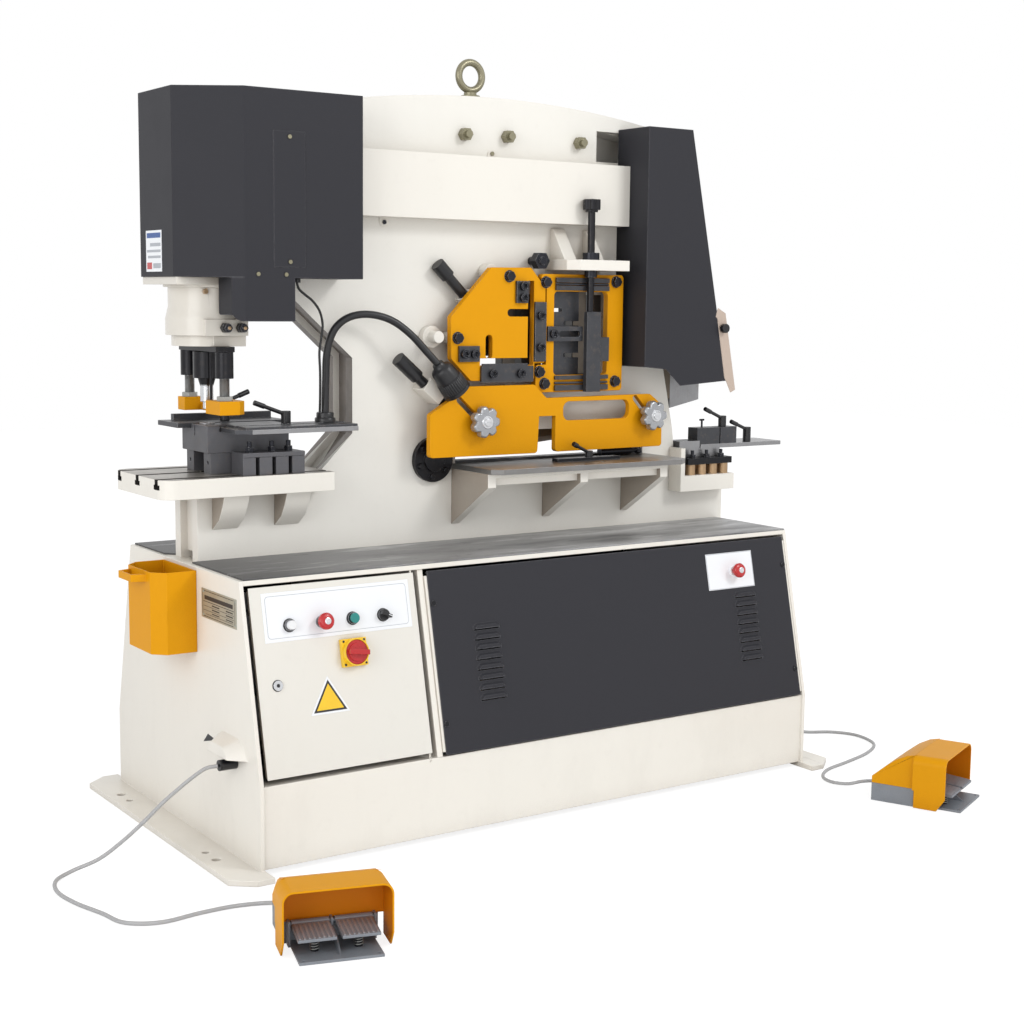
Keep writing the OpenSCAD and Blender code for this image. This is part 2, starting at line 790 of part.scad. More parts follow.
module fasteners()
  color(black) {
    // bolts of the yellow plates
    for (p = bolt_spots)
      hex_bolt_y(p[0], p[1], plate_y0, plate_bolt_af, plate_bolt_head, plate_bolt_d,
        p == short_bolt ? back_y1 : back_y1 + 24);
    // socket screws of the blades
    for (p = screw_spots)
      socket_screw_y(p[0], p[1], blade_face, 16, 10);
    // bolts through the top of the frame, with nuts
    for (p = [[-61, 1741], [74, 1743], [312, 1741]]) {
      nut_y(p[0], p[1], front_face - 22, front_face, 30);
      rod_y(p[0], p[1], front_face - 32, front_face - 22, 20);
    }
    // large hex head above the angle plate
    nut_y(160, 1419, -88, -62, 42);
    rod_y(160, 1419, -94, -88, 22);
    rod_y(160, 1419, -62, front_face, 24);
    // set screw of the notching stop
    rod_z(782, -36, 946, 966, 6);
    rod_x(-36, 968, 774, 790, 6);
    // T-bolts of the die clamps, held in the front slot of the table
    for (x = clamp_bolts_x) {
      nut_z(x, slot_y0, clamp_top, clamp_top + 12, 19);
      rod_z(x, slot_y0, table_top - 22, clamp_top + 26, 12);
      block(x - 12, x + 12, slot_y0 - 12, slot_y0 + 12, table_top - 23, table_top - 14);
    }
    for (x = notch_bolts_x) {
      nut_z(x, -74, die_clamp_top, die_clamp_top + 10, 17);
      rod_z(x, -74, die_clamp_top + 10, die_clamp_top + 22, 10);
    }
    // nuts on the stripper studs
    for (s = [-1, 1])
      difference() {
        nut_z(punch_x, mid_y + s * stud_reach, yoke_top, yoke_top + 11, 36);
        rod_z(punch_x, mid_y + s * stud_reach, yoke_top - 1, yoke_top + 12, stud_d + 0.2);
      }
    // hex fittings of the punch housing
    for (x = [-757, -716]) {
      nut_y(x, 1240, -80, -66, 22);
      nut_y(x, 1240, -90, -82, 19);
      rod_y(x, 1240, -94, -66, 10);
    }
    // panel screws
    on_front()
      for (x = [panel_x0 + panel_screw_in, panel_x1 - panel_screw_in],
           u = [panel_screw_low, panel_screw_high])
        rod_y(x, u, -3.5, -0.5, 14);
    on_back()
      for (x = [-1, 1] * (half_l - side_plate - 4 - panel_screw_in),
           u = [panel_screw_low, panel_screw_high])
        rod_y(x, u, -3.5, -0.5, 14);
    for (p = [[-632, 1690], [-632, 1398]])
      rod_y(p[0], p[1], cover_y0 - 5, cover_y0 - 2, 10);
    for (p = [[-715, 1368], [-642, 1368]])
      rod_y(p[0], p[1], cover_y0 - 3, cover_y0, 10);
    for (p = [[-300, 1507], [28, 1697]])
      rod_y(p[0], p[1], front_face - 5.5, front_face - 2, 11);
    // bushing of the hold-down screw
    difference() {
      union() {
        rod_z(screw_x, screw_y, bracket_z0 - 18, bracket_z0, 34);
        rod_z(screw_x, screw_y, bracket_z0, bracket_z1, bush_d);
        rod_z(screw_x, screw_y, bracket_z1, bracket_z1 + 20, 46);
      }
      rod_z(screw_x, screw_y, bracket_z0 - 19, bracket_z1 + 21, screw_d + 2 * fit);
    }
    // back stop rod and its nut on the flat table
    rod_x(-52, shear_top + 11.1, 390, 500, 22);
    rod_x(-52, shear_top + 11.1, 500, 522, 12);
    translate([522, -52, shear_top + 11.1])
      rotate([0, 90, 0])
        cylinder(h = 12, d = 22, $fn = 6);
  }

module eye_bolt()
  color(steel)
    translate([eye_x, mid_y, arc_z(eye_x) - 0.5]) {
      rod_z(0, 0, 0, 10, 52);
      rod_z(0, 0, 10, 18, 34);
      translate([0, 0, 60])
        rotate([90, 0, 0])
          rotate_extrude()
            translate([36, 0])
              circle(d = 19);
    }

cover_name_x0 = -402;
cover_name_x1 = 450;
name_z0 = 1519;
name_z1 = 1683;
name_y = -92;
module name_cover()
  color(cream) {
    difference() {
      block(cover_name_x0, cover_name_x1, name_y, front_face, name_z0, name_z1);
      block(cover_name_x0 + sheet, cover_name_x1 - sheet, name_y + sheet, front_face + 1,
        name_z0 + sheet, name_z1 - sheet);
    }
    for (p = [[-300, name_z0 + 2, -1], [28, name_z1 - 2, 1]])
      slab(front_face - 2, front_face)
        translate([p[0], p[1]])
          difference() {
            union() {
              translate([0, p[2] * 12])
                circle(d = 28);
              translate([-14, p[2] > 0 ? 0 : -12])
                square([28, 12]);
            }
            translate([-15, p[2] > 0 ? -20 : 0])
              square([30, 20]);
          }
  }

module pivot_pin()
  color(dark) {
    rod_y(pivot_x, pivot_z, front_face - 16, front_face, 118);
    rod_y(pivot_x, pivot_z, front_face - 24, front_face - 16, 62);
    for (a = [0:60:300])
      nut_y(pivot_x + 45 * cos(a + 20), pivot_z + 45 * sin(a + 20),
        front_face - 24, front_face - 16, 14);
    rod_y(pivot_x, pivot_z, front_face, rear_back + 12, pivot_pin_d);
    rod_y(pivot_x, pivot_z, rear_back + 12, rear_back + 20, pivot_pin_d + 20);
  }

// ---- punch station -------------------------------------------------------------------------
cover_x0 = -886;
cover_x1 = -433;
cover_y0 = -165;
cover_y1 = 2 * mid_y - cover_y0;
cover_z0 = 1360;
cover_z1 = 1799;
cover_chamfer_x = -748;
cover_chamfer_y = 99;
ram_d = 36;
cylinder_d = 180;
hatch = [-674, -590, 1385, 1703];

module cover_plan(inset)
  polygon([
    [cover_x0 + inset, cover_y0 + cover_chamfer_y + inset * 0.6],
    [cover_chamfer_x + inset * 0.4, cover_y0 + inset], [cover_x1 - inset, cover_y0 + inset],
    [cover_x1 - inset, cover_y1 - inset], [cover_chamfer_x + inset * 0.4, cover_y1 - inset],
    [cover_x0 + inset, cover_y1 - cover_chamfer_y - inset * 0.6]]);

module cowl_plan(inset)
  polygon([
    [-774 + inset, -71], [-774 + inset, -146 + inset * 0.6],
    [cover_chamfer_x + inset * 0.4, cover_y0 + inset], [-618 - inset, cover_y0 + inset],
    [-618 - inset, -71]]);

module punch_cover()
  color(dark) {
    difference() {
      deck(cover_z0, cover_z1)
        cover_plan(0);
      deck(cover_z0 + sheet, cover_z1 - sheet)
        cover_plan(sheet);
      // the frame comes in from the right, the cylinder from below
      block(jaw_x - 45, cover_x1 + 1, front_face, rear_back, cover_z0 - 1, 1784);
      block(jaw_x - 45, jaw_x + 1, mid_y - 86, mid_y + 86, cover_z0 - 1, cover_z0 + 3);
      rod_z(punch_x, mid_y, cover_z0 - 1, cover_z0 + 3, cylinder_d + 4);
      block(hatch[0] + 8, hatch[1] - 8, cover_y0 - 1, cover_y0 + 5, hatch[2] + 8, hatch[3] - 8);
    }
    block(hatch[0], hatch[1], cover_y0 - 2, cover_y0, hatch[2], hatch[3]);
    // cowl over the hydraulic fittings
    difference() {
      deck(1257, cover_z0)
        cowl_plan(0);
      deck(1256, cover_z0 + 1)
        cowl_plan(sheet);
      slab(-200, 0)
        difference() {
          translate([-780, 1250])
            square([32, 34]);
          translate([-748, 1284])
            circle(r = 27);
        }
    }
  }

module punch_housing()
  color(cream)
    difference() {
      union() {
        // cylinder, its back plate and the flange below it
        rod_z(punch_x, mid_y, cover_z0, 1700, cylinder_d);
        block(jaw_x - 60, jaw_x - 30, mid_y - 84, mid_y + 84, 1380, 1700);
        block(-880, jaw_x, -70, 138, cover_z0 - 18, cover_z0);
        rod_z(punch_x, mid_y, 1266, cover_z0 - 18, 182);
        rod_z(punch_x, mid_y, 1336, cover_z0 - 18, 204);
        translate([punch_x, mid_y, 1260])
          cylinder(h = 30, d1 = 196, d2 = 182);
        // upper block, lower block and the small plug on the neck
        intersection() {
          union() {
            rod_z(punch_x, mid_y, 1221, 1260, 196);
            block(-806, -695, -66, mid_y + 98, 1221, 1260);
          }
          block(-900, -600, -66, 140, 1221, 1260);
        }
        rod_z(punch_x, mid_y, 1195, 1221, 168);
        deck(1195, 1221)
          polygon([
            [-800, mid_y], [-800, -24], [-778, -50], [-694, -50], [-694, mid_y]]);
        rod_y(-800, 1326, -58, -40, 12);
      }
      rod_z(punch_x, mid_y, 1190, 1690, ram_d + 2 * fit);
    }

holder_x0 = punch_x - 25;
holder_x1 = punch_x + 25;
module stripper_holder()
  color(dark)
    difference() {
      union() {
        block(holder_x0, holder_x1, mid_y - 111, mid_y + 111, 1182, 1195);
        for (s = [-1, 1]) {
          rod_z(punch_x, mid_y + s * stud_reach, 1119, 1182, 44);
          rod_z(punch_x, mid_y + s * stud_reach, yoke_top - 33, 1119, stud_d);
        }
        rod_z(punch_x - 10, -13, yoke_top, 1182, 6);
      }
      rod_z(punch_x, mid_y, 1181, 1196, ram_d + 2 * fit);
    }

module stripper_yoke()
  color(yellow)
    difference() {
      union() {
        deck(yoke_top - 33, yoke_top)
          polygon([[-787, -16], [-787, -100], [-735, -100], [-715, -82], [-715, -16]]);
        block(-784, -728, 118, 160, yoke_top - 33, yoke_top);
        block(-740, -715, -16, 118, yoke_top - 33, yoke_top - 15);
      }
      for (s = [-1, 1])
        rod_z(punch_x, mid_y + s * stud_reach, yoke_top - 34, yoke_top + 1, stud_d + 0.2);
    }

ram_stroke = 50;
module punch_ram()
  color(steel) {
    rod_z(punch_x, mid_y, 1120, 1630, ram_d);
    difference() {
      rod_z(punch_x, mid_y, 1116, 1181, 66);
      rod_z(punch_x, mid_y, 1115, 1182, ram_d);
    }
    translate([punch_x, mid_y, 1096])
      cylinder(h = 20, d1 = 32, d2 = 44);
    rod_z(punch_x, mid_y, 1058, 1097, 32);
    rod_z(punch_x, mid_y, 1040, 1059, punch_d);
  }

module punch_table()
  color(cream)
    difference() {
      deck(table_low, table_top)
        difference() {
          union() {
            translate([-945, -86])
              square([455, 240]);
            translate([-909, -122])
              square([419, 312]);
            for (y = [-86, 154])
              translate([-909, y])
                circle(r = 36);
          }
        }
      for (i = [-1:1])
        translate([0, mid_y + i * slot_pitch, 0]) {
          block(-950, -480, -slot_mouth / 2, slot_mouth / 2, table_top - 13, table_top + 1);
          block(-950, -480, -slot_wide / 2, slot_wide / 2, table_top - 24, table_top - 13);
        }
      // slugs fall through the middle slot
      rod_z(punch_x, mid_y, table_low - 1, table_top, 40);
      // the inner end sits against the sloping throat edges of the two frame plates
      slab(front_face, rear_back)
        polygon([[-525, 838], [-480, 883], [-480, 837], [-525, 837]]);
    }

die_d = 38;
bolster_z0 = table_top;
bolster_z1 = work_height - 2;
rail_z = work_height - 12;
front_rail_z = work_height - 17;
foot_top = table_top + 52;
die_seat = work_height - 45;
module die_bolster()
  color(grey) {
    difference() {
      union() {
        for (y = [[-38, 4], [64, 106]])
          block(-785, -590, y[0], y[1], bolster_z0, foot_top);
        block(-795, -576, -42, 110, foot_top, front_rail_z);
        block(-795, -576, 55.5, 110, front_rail_z, rail_z);
        block(-795, -762, -42, 54, front_rail_z, bolster_z1);
        block(-762, -576, -24, 54, front_rail_z, bolster_z1);
      }
      rod_z(punch_x, mid_y, die_seat, bolster_z1 + 1, die_d + 2 * fit);
      rod_z(punch_x, mid_y, foot_top - 1, die_seat + 1, 30);
      for (y = [-20, 85])
        rod_x(y, table_top + 27, -786, -760, 9);
      block(-796, -790, mid_y - 3, mid_y + 3, work_height - 29, bolster_z1 + 1);
    }
    // clamp that presses the bolster on the table
    difference() {
      union() {
        for (x = [-733, -689, -645, -601])
          block(x, x + 34, -110, -43, bolster_z0, table_top + 44);
        block(-733, -567, -112, -43, table_top + 44, clamp_top);
        block(-733, -567, -60, -43, bolster_z0, table_top + 44);
      }
      for (x = clamp_bolts_x)
        rod_z(x, slot_y0, bolster_z0 - 1, clamp_top + 1, 13);
    }
  }

module punch_die()
  color(steel)
    difference() {
      rod_z(punch_x, mid_y, die_seat, work_height + 1, die_d);
      rod_z(punch_x, mid_y, die_seat - 1, work_height + 2, punch_d + 0.8);
    }

lamp_foot = [-484, -60];
lever_a = [-589, -52];
lever_b = [-690, 86];
module gauge_plates()
  color([0.80, 0.81, 0.82]) {
    difference() {
      union() {
        block(-830, -531, 55.5, 180, rail_z, work_height);
        block(-801, -531, 150, 166, work_height, work_height + 16);
      }
      rod_z(punch_x, mid_y, rail_z - 1, work_height + 1, 56);
      rod_z(lever_b[0], lever_b[1], rail_z - 1, work_height + 1, 12 + 2 * fit);
    }
    difference() {
      union() {
        deck(front_rail_z, work_height - 6)
          polygon([
            [-760, -25], [-760, -122], [-726, -150], [-438, -150], [-438, -25]]);
        block(-740, -438, -146, -96, work_height - 6, work_height);
        block(-740, -438, -80, -28, work_height - 6, work_height);
      }
      rod_z(lever_a[0], lever_a[1], front_rail_z - 1, work_height + 1, 12 + 2 * fit);
    }
  }

// Clamping lever: hub on a plate, and a raised handle towards (dx, dy)
module clamp_lever(p, z0, z, dz, reach, turn) {
  rod_z(p[0], p[1], z0, z, 12);
  rod_z(p[0], p[1], z, z + dz, 24);
  translate([p[0], p[1], z + dz - 9])
    rotate([0, 0, turn])
      rotate([0, -20, 0]) {
        rod_x(0, 0, 4, reach - 20, 10);
        rod_x(0, 0, reach - 30, reach, 13);
      }
}

module gauge_lever_a()
  color(black)
    clamp_lever(lever_a, front_rail_z + 1, work_height + 0.2, 30, 92, 180);

module gauge_lever_b()
  color(black)
    clamp_lever(lever_b, rail_z + 0.3, work_height + 0.2, 56, 72, 4);

// ---- routes and the sweep along them ---------------------------------------------------------
function mid_point(p, i, t) =
  let (
    a = p[max(i - 1, 0)], b = p[i], c = p[i + 1], d = p[min(i + 2, len(p) - 1)])
  0.5 * (2 * b + (c - a) * t + (2 * a - 5 * b + 4 * c - d) * t * t
    + (3 * b - a - 3 * c + d) * t * t * t);

function smooth(p, n) = concat(
  [for (i = [0:len(p) - 2], k = [0:n - 1]) mid_point(p, i, k / n)],
  [p[len(p) - 1]]);

function unit(v) = v / norm(v);
function along(q, i) = unit(q[min(i + 1, len(q) - 1)] - q[max(i - 1, 0)]);

// Round tube along the points q. The vector ref is never along the route.
module tube(q, d, sides, ref) {
  count = len(q);
  rings = [
    for (i = [0:count - 1])
      let (t = along(q, i), u = unit(cross(ref, t)), w = cross(t, u))
      for (k = [0:sides - 1])
        q[i] + d / 2 * (cos(360 * k / sides) * u + sin(360 * k / sides) * w)];
  walls = [
    for (i = [0:count - 2], k = [0:sides - 1])
      let (a = i * sides + k, b = i * sides + (k + 1) % sides)
      for (f = [[a, a + sides, b + sides], [a, b + sides, b]]) f];
  polyhedron(
    points = rings,
    faces = concat(
      walls,
      [[for (k = [0:sides - 1]) k]],
      [[for (k = [sides - 1:-1:0]) (count - 1) * sides + k]]));
}

neck_route = [
  [-484, -60, 1030], [-482, -60, 1110], [-480, -64, 1180], [-464, -72, 1235], [-427, -80, 1266],
  [-375, -90, 1274], [-318, -102, 1260], [-268, -114, 1225], [-222, -126, 1176], [-198, -132, 1150]];
lamp_cable_route = [
  [-591, -120, 1357], [-590, -120, 1345], [-583, -118, 1333], [-566, -114, 1321], [-543, -109, 1306],
  [-520, -101, 1282], [-508, -94, 1250],
  [-509, -90, 1220], [-514, -88, 1180], [-510, -84, 1130], [-505, -74, 1074], [-501, -64, 1030.5]];
floor_z = pedal_cable_d / 2;
route_a = [
  [-half_l - 46, -305, 239], [-half_l - 80, -291, 229], [-1001, -261, 168], [-1050, -240, 116], [-1095, -221, 72],
  [-1145, -200, 32], [-1203, -180, 8], [-1252, -215, floor_z], [-1272, -285, floor_z],
  [-1262, -370, floor_z], [-1235, -460, floor_z], [-1215, -535, floor_z], [-1150, -575, floor_z],
  [-1060, -570, floor_z], [-985, -572, floor_z], [-925, -588, floor_z], [-880, -620, 8],
  [-848, -662, 18], [-847, -702, 22], [-856, -733, 22]];
route_b = [
  [half_l + 30, -120, 120], [half_l + 75, -122, 112], [985, -135, 66], [1040, -150, 24], [1105, -180, 7],
  [1180, -220, floor_z], [1218, -290, floor_z], [1190, -385, floor_z], [1100, -445, floor_z],
  [980, -482, floor_z], [876, -508, floor_z], [812, -552, floor_z], [797, -602, floor_z],
  [815, -645, 8], [843, -668, 16], [861, -698, 22], [875, -729, 22]];

bell_start = [-198, -132, 1150];
module work_lamp()
  color(black) {
    rod_z(lamp_foot[0], lamp_foot[1], work_height, 1016, 52);
    rod_z(lamp_foot[0], lamp_foot[1], 1016, 1030, 44);
    tube(smooth(neck_route, 3), 19, 10, [0, 1, 0]);
    // bell-shaped head, open below
    translate(bell_start)
      rotate([0, 140, 0])
        rotate_extrude()
          polygon([
            [0, 0], [15, 0], [17, 8], [28, 16], [31, 24], [38, 88], [38, 96],
            [35, 96], [35, 88], [28, 32], [24, 28], [0, 28]]);
  }

module lamp_cable()
  color(grey)
    tube(smooth(lamp_cable_route, 2), 7, 8, [0, 1, 0]);

module cable_glands()
  color(steel) {
    // outlets on both ends of the base
    rod_x(cable_hole_y, cable_hole_z, -half_l, -half_l + side_plate, cable_hole_d - 0.4);
    rod_x(cable_hole_y, cable_hole_z, -half_l - 43.6, -half_l, 26);
    rod_x(cable_hole_y, cable_hole_z, -half_l + side_plate, -half_l + 16, 30);
    rod_x(cable_y_right, 120, half_l - side_plate, half_l, cable_hole_d - 0.4);
    rod_x(cable_y_right, 120, half_l, half_l + 29, 26);
    rod_x(cable_y_right, 120, half_l - 16, half_l - side_plate, 30);
    // outlet of the lamp cable under the punch cover
    difference() {
      rod_z(-591, -120, 1350, cover_z0, 18);
      rod_z(-591, -120, 1349, 1358, 7.8);
    }
  }

// ---- yellow plates, blades and guides of the angle and bar stations -------------------------
module rounded(r)
  offset(r = r)
    offset(delta = -r)
      children();

module angle_outline()
  difference() {
    rounded(8) polygon([
      [-11, 1398], [117, 1400], [165, 1347], [165, 1145], [131, 1145], [131, 1101],
      [-72, 1101], [-134, 1159], [-135, 1269]]);
    slot_2d(52, 1280, 112, 1280, 20);
    translate([108, 1150])
      square([19, 215]);
    slot_2d(-16, 1170, -16, 1211, 22);
    translate([-44, angle_z])
      square([171, 19]);
    for (p = bolt_spots)
      translate(p)
        circle(d = plate_bolt_d + 0.6);
  }

module bar_outline()
  difference() {
    rounded(10) polygon([
      [140, 1384], [430, 1385], [430, 1066], [135, 1066], [135, 1141], [169, 1141],
      [169, 1350]]);
    rounded(12) translate([bar_win[0], bar_win[2]])
      square([bar_win[1] - bar_win[0], bar_win[3] - bar_win[2]]);
    for (p = bolt_spots)
      translate(p)
        circle(d = plate_bolt_d + 0.6);
  }

module shear_plates()
  color(yellow) {
    // the angle plate is two sheets with a thin shim between them
    for (y = [[plate_y0, plate_y1 - shim / 2], [plate_y1 + shim / 2, back_y1]])
      slab(y[0], y[1])
        angle_outline();
    slab(plate_y1 - shim / 2, plate_y1 + shim / 2)
      offset(delta = -3)
        angle_outline();
    slab(plate_y0, back_y1)
      bar_outline();
  }

module blade(x0, x1, z0, z1)
  block(x0, x1, blade_face, plate_y0, z0, z1);

module fixed_blades()
  color(steel) {
    difference() {
      union() {
        blade(66, 104, 1306, 1364);
        blade(127, 163, 1150, 1309);
        blade(-113, -50, 1152, 1193);
        blade(-44, 123, 1097, 1139);
        blade(-40, 104, 1139, 1146);
      }
      for (p = screw_spots)
        rod_y(p[0], p[1], blade_face - 1, blade_face + 6, 16.4);
    }
    // gauge bars above and below the bar window
    for (z = [[1341, 1354], [1362, 1375], [1100, 1111], [1070, 1085]])
      blade(196, 376, z[0], z[1]);
    for (z = [1358, 1091])
      rod_x(plate_y0 - 3, z, 196, 376, 6);
    // slotted plate behind the bar window
    slab(back_y1, back_y1 + 6)
      difference() {
        translate([188, 1106])
          square([104, 238]);
        slot_2d(206, 1288, 230, 1288, 10);
        slot_2d(246, 1252, 294, 1252, 12);
        slot_2d(246, 1165, 294, 1165, 12);
      }
    slab(blade_face, plate_y0)
      difference() {
        translate([170, 1204])
          square([116, 40]);
        slot_2d(214, 1224, 270, 1224, 16);
        translate(screw_spots[8])
          circle(d = 16.4);
      }
    // lower blade of the flat shear, set in both the slot and the front plate
    block(-80, 560, front_face, beam_y0 - pass_gap, lower_blade_z, lower_blade_top);
  }

// ---- shear beam --------------------------------------------------------------------------------
beam_travel = 7.2;
beam_outline = [
  [-214, 930], [-205, 850], [-150, 822], [-95, 842], [-62, 900], [-40, 912], [560, 966],
  [580, 1030], [690, 1030], [690, 1130], [655, 1180], [620, 1430], [480, 1500], [120, 1440],
  [-120, 1290], [-214, 1100]];

module shear_beam()
  color([0.55, 0.45, 0.36])
    slab(beam_y0, beam_y1)
      difference() {
        polygon(beam_outline);
        translate([pivot_x, pivot_z])
          circle(d = pivot_pin_d + 2 * fit);
        station_openings(8);
      }

notch_x0 = 690;
notch_x1 = 801;
module moving_blades()
  color(steel) {
    // raked blade of the flat shear
    slab(beam_y0, beam_y1)
      polygon([[-40, 898], [560, 952], [560, 966], [-40, 912]]);
    // notching punch
    slab(beam_y0, beam_y1)
      polygon([
        [notch_x0, 1003], [notch_x1, 1026], [notch_x1, 1130], [notch_x0, 1130]]);
  }

// ---- hold-down, inclined screws, guard and table --------------------------------------------
bar_top = 1284;
module holddown_bar()
  color(grey) {
    block(287, 335, -123, -107, bar_top - 218, bar_top);
    block(335, 365, -121, -107, 1149, 1215);
  }

module holddown_screw()
  color(black) {
    rod_z(screw_x, screw_y, bar_top, 1552, screw_d);
    rod_z(screw_x, screw_y, 1552, 1558, 34);
    deck(1558, 1586)
      translate([screw_x, screw_y])
        lobes(6, 17, 8, 21);
  }

module lobes(count, ring, lobe, core) {
  circle(r = core);
  for (i = [0:count - 1])
    rotate(i * 360 / count)
      translate([ring, 0])
        circle(r = lobe);
}

module screw_handle(x0, x1, x2, y) {
  rod_x(y, 0, x0, x1, 38);
  rod_x(y, 0, x1, x2, clamp_screw_d);
}

module angle_screw()
  color(black)
    translate([-58, 0, 1313])
      rotate([0, 44, 0])
        screw_handle(-132, -86, 34, angle_screw_y);

module plate_screw()
  color(black)
    translate([-180, 0, 1076])
      rotate([0, 40, 0])
        screw_handle(-134, -58, 62, plate_screw_y);

module flat_guard()
  color(yellow)
    slab(guard_y0, guard_y1)
      difference() {
        rounded(10) polygon([
          [-209, 1018], [-89, 1088], [119, 1089], [160, 1052], [518, 1055], [553, 1030], [563, 951],
          [563, 906], [190, 905], [190, 1003], [136, 1003], [131, 904], [-209, 905]]);
        rounded(20) translate([216, 989])
          square([228, 52]);
        slot_2d(-120, 1054, knob_a[0], knob_a[1], 17);
        slot_2d(465, 1044, knob_b[0], knob_b[1], 17);
      }

module star_knob(p)
  difference() {
    union() {
      translate([p[0], guard_y0 - 0.3, p[1]])
        rotate([90, 0, 0]) {
          cylinder(h = 14, d = 36);
          translate([0, 0, 14])
            linear_extrude(26)
              lobes(7, 31, 11, 30);
        }
    }
    rod_y(p[0], p[1], guard_y0 - 41, guard_y0, 16);
  }

module star_knob_a()
  color(black)
    star_knob(knob_a);

module star_knob_b()
  color(black)
    star_knob(knob_b);

module shear_table()
  color(steel) {
    deck(shear_low, shear_top)
      difference() {
        polygon([
          [-92, front_face], [-92, table_front + 10], [-66, table_front - 9],
          [534, table_front - 9], [560, table_front + 10], [560, front_face]]);
        translate([300, -190])
          circle(d = 13);
      }
    // fence bar on the table
    difference() {
      block(173, 387, -152, -126, shear_top, shear_top + 9);
      rod_z(fence_x, -139, shear_top, shear_top + 10, 10 + 2 * fit);
    }
  }

fence_x = 288;
module fence_lever()
  color(black) {
    rod_z(fence_x, -139, shear_top + 1, shear_top + 9.2, 10);
    rod_z(fence_x, -139, shear_top + 9.2, shear_top + 26, 22);
    translate([fence_x, -139, shear_top + 20])
      rotate([0, 0, 190])
        rotate([0, -24, 0]) {
          rod_x(0, 0, 4, 52, 9);
          rod_x(0, 0, 52, 68, 14);
        }
  }

// ---- notching station ---------------------------------------------------------------------------
hood_y0 = -172;
hood_y1 = 2 * mid_y - hood_y0;
module hood_plan(front_x, side_x, inset)
  polygon([
    [451 + inset, hood_y0 + inset], [front_x - inset * 0.6, hood_y0 + inset],
    [side_x - inset, -60 + inset * 0.5], [side_x - inset, 128 - inset * 0.5],
    [front_x - inset * 0.6, hood_y1 - inset], [451 + inset, hood_y1 - inset]]);

module hood_solid(inset)
  hull() {
    translate([0, 0, 1070])
      linear_extrude(0.1)
        hood_plan(756, 829, inset);
    translate([0, 0, 1786 - inset])
      linear_extrude(0.1)
        hood_plan(606, 679, inset);
  }

module notcher_cover()
  color(dark) {
    difference() {
      hood_solid(0);
      hood_solid(sheet);
      // the frame, and the arm of the beam that leaves downwards
      block(440, frame_right + 2, front_face, rear_back, 1000, 1800);
      for (s = [0, 1])
        mirror([0, s, 0])
          translate([0, s * -2 * mid_y, 0])
            slab(-180, -33)
              polygon([
                [440, 1000], [440, 1133], [451, 1133], [528, 1126], [581, 1079],
                [752, 1090], [840, 1090], [840, 1000]]);
      block(581, 900, -34, 102, 1000, 1088);
    }
    cover_latch();
    // inner webs of the cover that sit on both faces of the frame
    for (y = [[front_face - 3, front_face], [rear_back, rear_back + 3]])
      block(451 + sheet, frame_right - 2, y[0], y[1], 1700, 1780);
  }

// Plate and knob on the front of the cover
module cover_latch()
  color(cream) {
    slab(hood_y0 - 2, hood_y0)
      polygon([
        [712, 1298], [742, 1282], [786, 1064], [768, 1056], [744, 1100], [712, 1268],
        [706, 1272]]);
    rod_y(730, 1240, hood_y0 - 6, hood_y0 - 2, 16);
    rod_y(730, 1240, hood_y0 - 20, hood_y0 - 6, 26);
  }

module notcher_table()
  color(grey) {
    difference() {
      union() {
        block(676, 866, -90, 158, 765, 811);
        for (y = [[-90, front_face], [rear_back, 158]])
          block(660, 676, y[0], y[1], 765, 892);
        for (y = [-70, 138], x = [712, 754, 796, 838])
          rod_z(x, y, 811, 842, 30);
        block(690, 852, -50, 118, 811, 842);
        block(690, 858, -88, 156, 842, die_clamp_top);
      }
      block(688, 816, beam_y0 - 2, beam_y1 + 2, 841, die_clamp_top + 1);
      block(720, 816, beam_y0 + 4, beam_y1 - 4, 764, 812);
    }
  }

module notch_die()
  color(steel)
    difference() {
      union() {
        block(678, 834, -60, 128, die_clamp_top, 885);
        block(678, 756, -60, 128, 885, 909);
        block(760, 1080, -60, 60, 885, 897);
        block(838, 901, -58, -14, 897, 946);
        block(748, 834, -58, -14, 897, 946);
      }
      block(688, 818, beam_y0 - 1.5, beam_y1 + 2, die_clamp_top - 1, 910);
      rod_z(notch_lever_x[0], -36, 930, 947, 10 + 2 * fit);
      rod_z(notch_lever_x[1], -36, 884, 898, 10 + 2 * fit);
    }

notch_lever_x = [862, 962];
module notch_lever(x, z, dz, reach, turn) {
  rod_z(x, -36, z - 10, z + 0.2, 10);
  rod_z(x, -36, z + 0.2, z + dz, 24);
  translate([x, -36, z + dz - 8])
    rotate([0, 0, turn])
      rotate([0, -20, 0]) {
        rod_x(0, 0, 4, reach - 20, 10);
        rod_x(0, 0, reach - 30, reach, 13);
      }
}

module notch_lever_a()
  color(black)
    notch_lever(notch_lever_x[0], 946, 32, 92, 192);

module notch_lever_b()
  color(black)
    notch_lever(notch_lever_x[1], 897, 44, 80, 188);

// ---- foot switches --------------------------------------------------------------------------------
pedal_places = [[[-1022, -887], -16.6], [[849, -953], 24]];
pedal_front = 88;
pedal_box_top = 48;
pedal_skin = 4;
tread_pin = [72, 46];
tread_pin_d = 8;
tread_x = [[30, 109], [121, 200]];
tread_press = 6;

module at_pedal(i)
  translate([pedal_places[i][0][0], pedal_places[i][0][1], 0])
    rotate([0, 0, pedal_places[i][1]])
      children();

module arch(inset)
  difference() {
    union() {
      translate([inset, 2])
        square([pedal_width - 2 * inset, pedal_height - 26]);
      translate([24, 2])
        square([pedal_width - 48, pedal_height - 2 - inset]);
      for (x = [24, pedal_width - 24])
        translate([x, pedal_height - 24])
          circle(r = 24 - inset);
    }
    translate([-1, -inset])
      square([pedal_width + 2, 2]);
  }

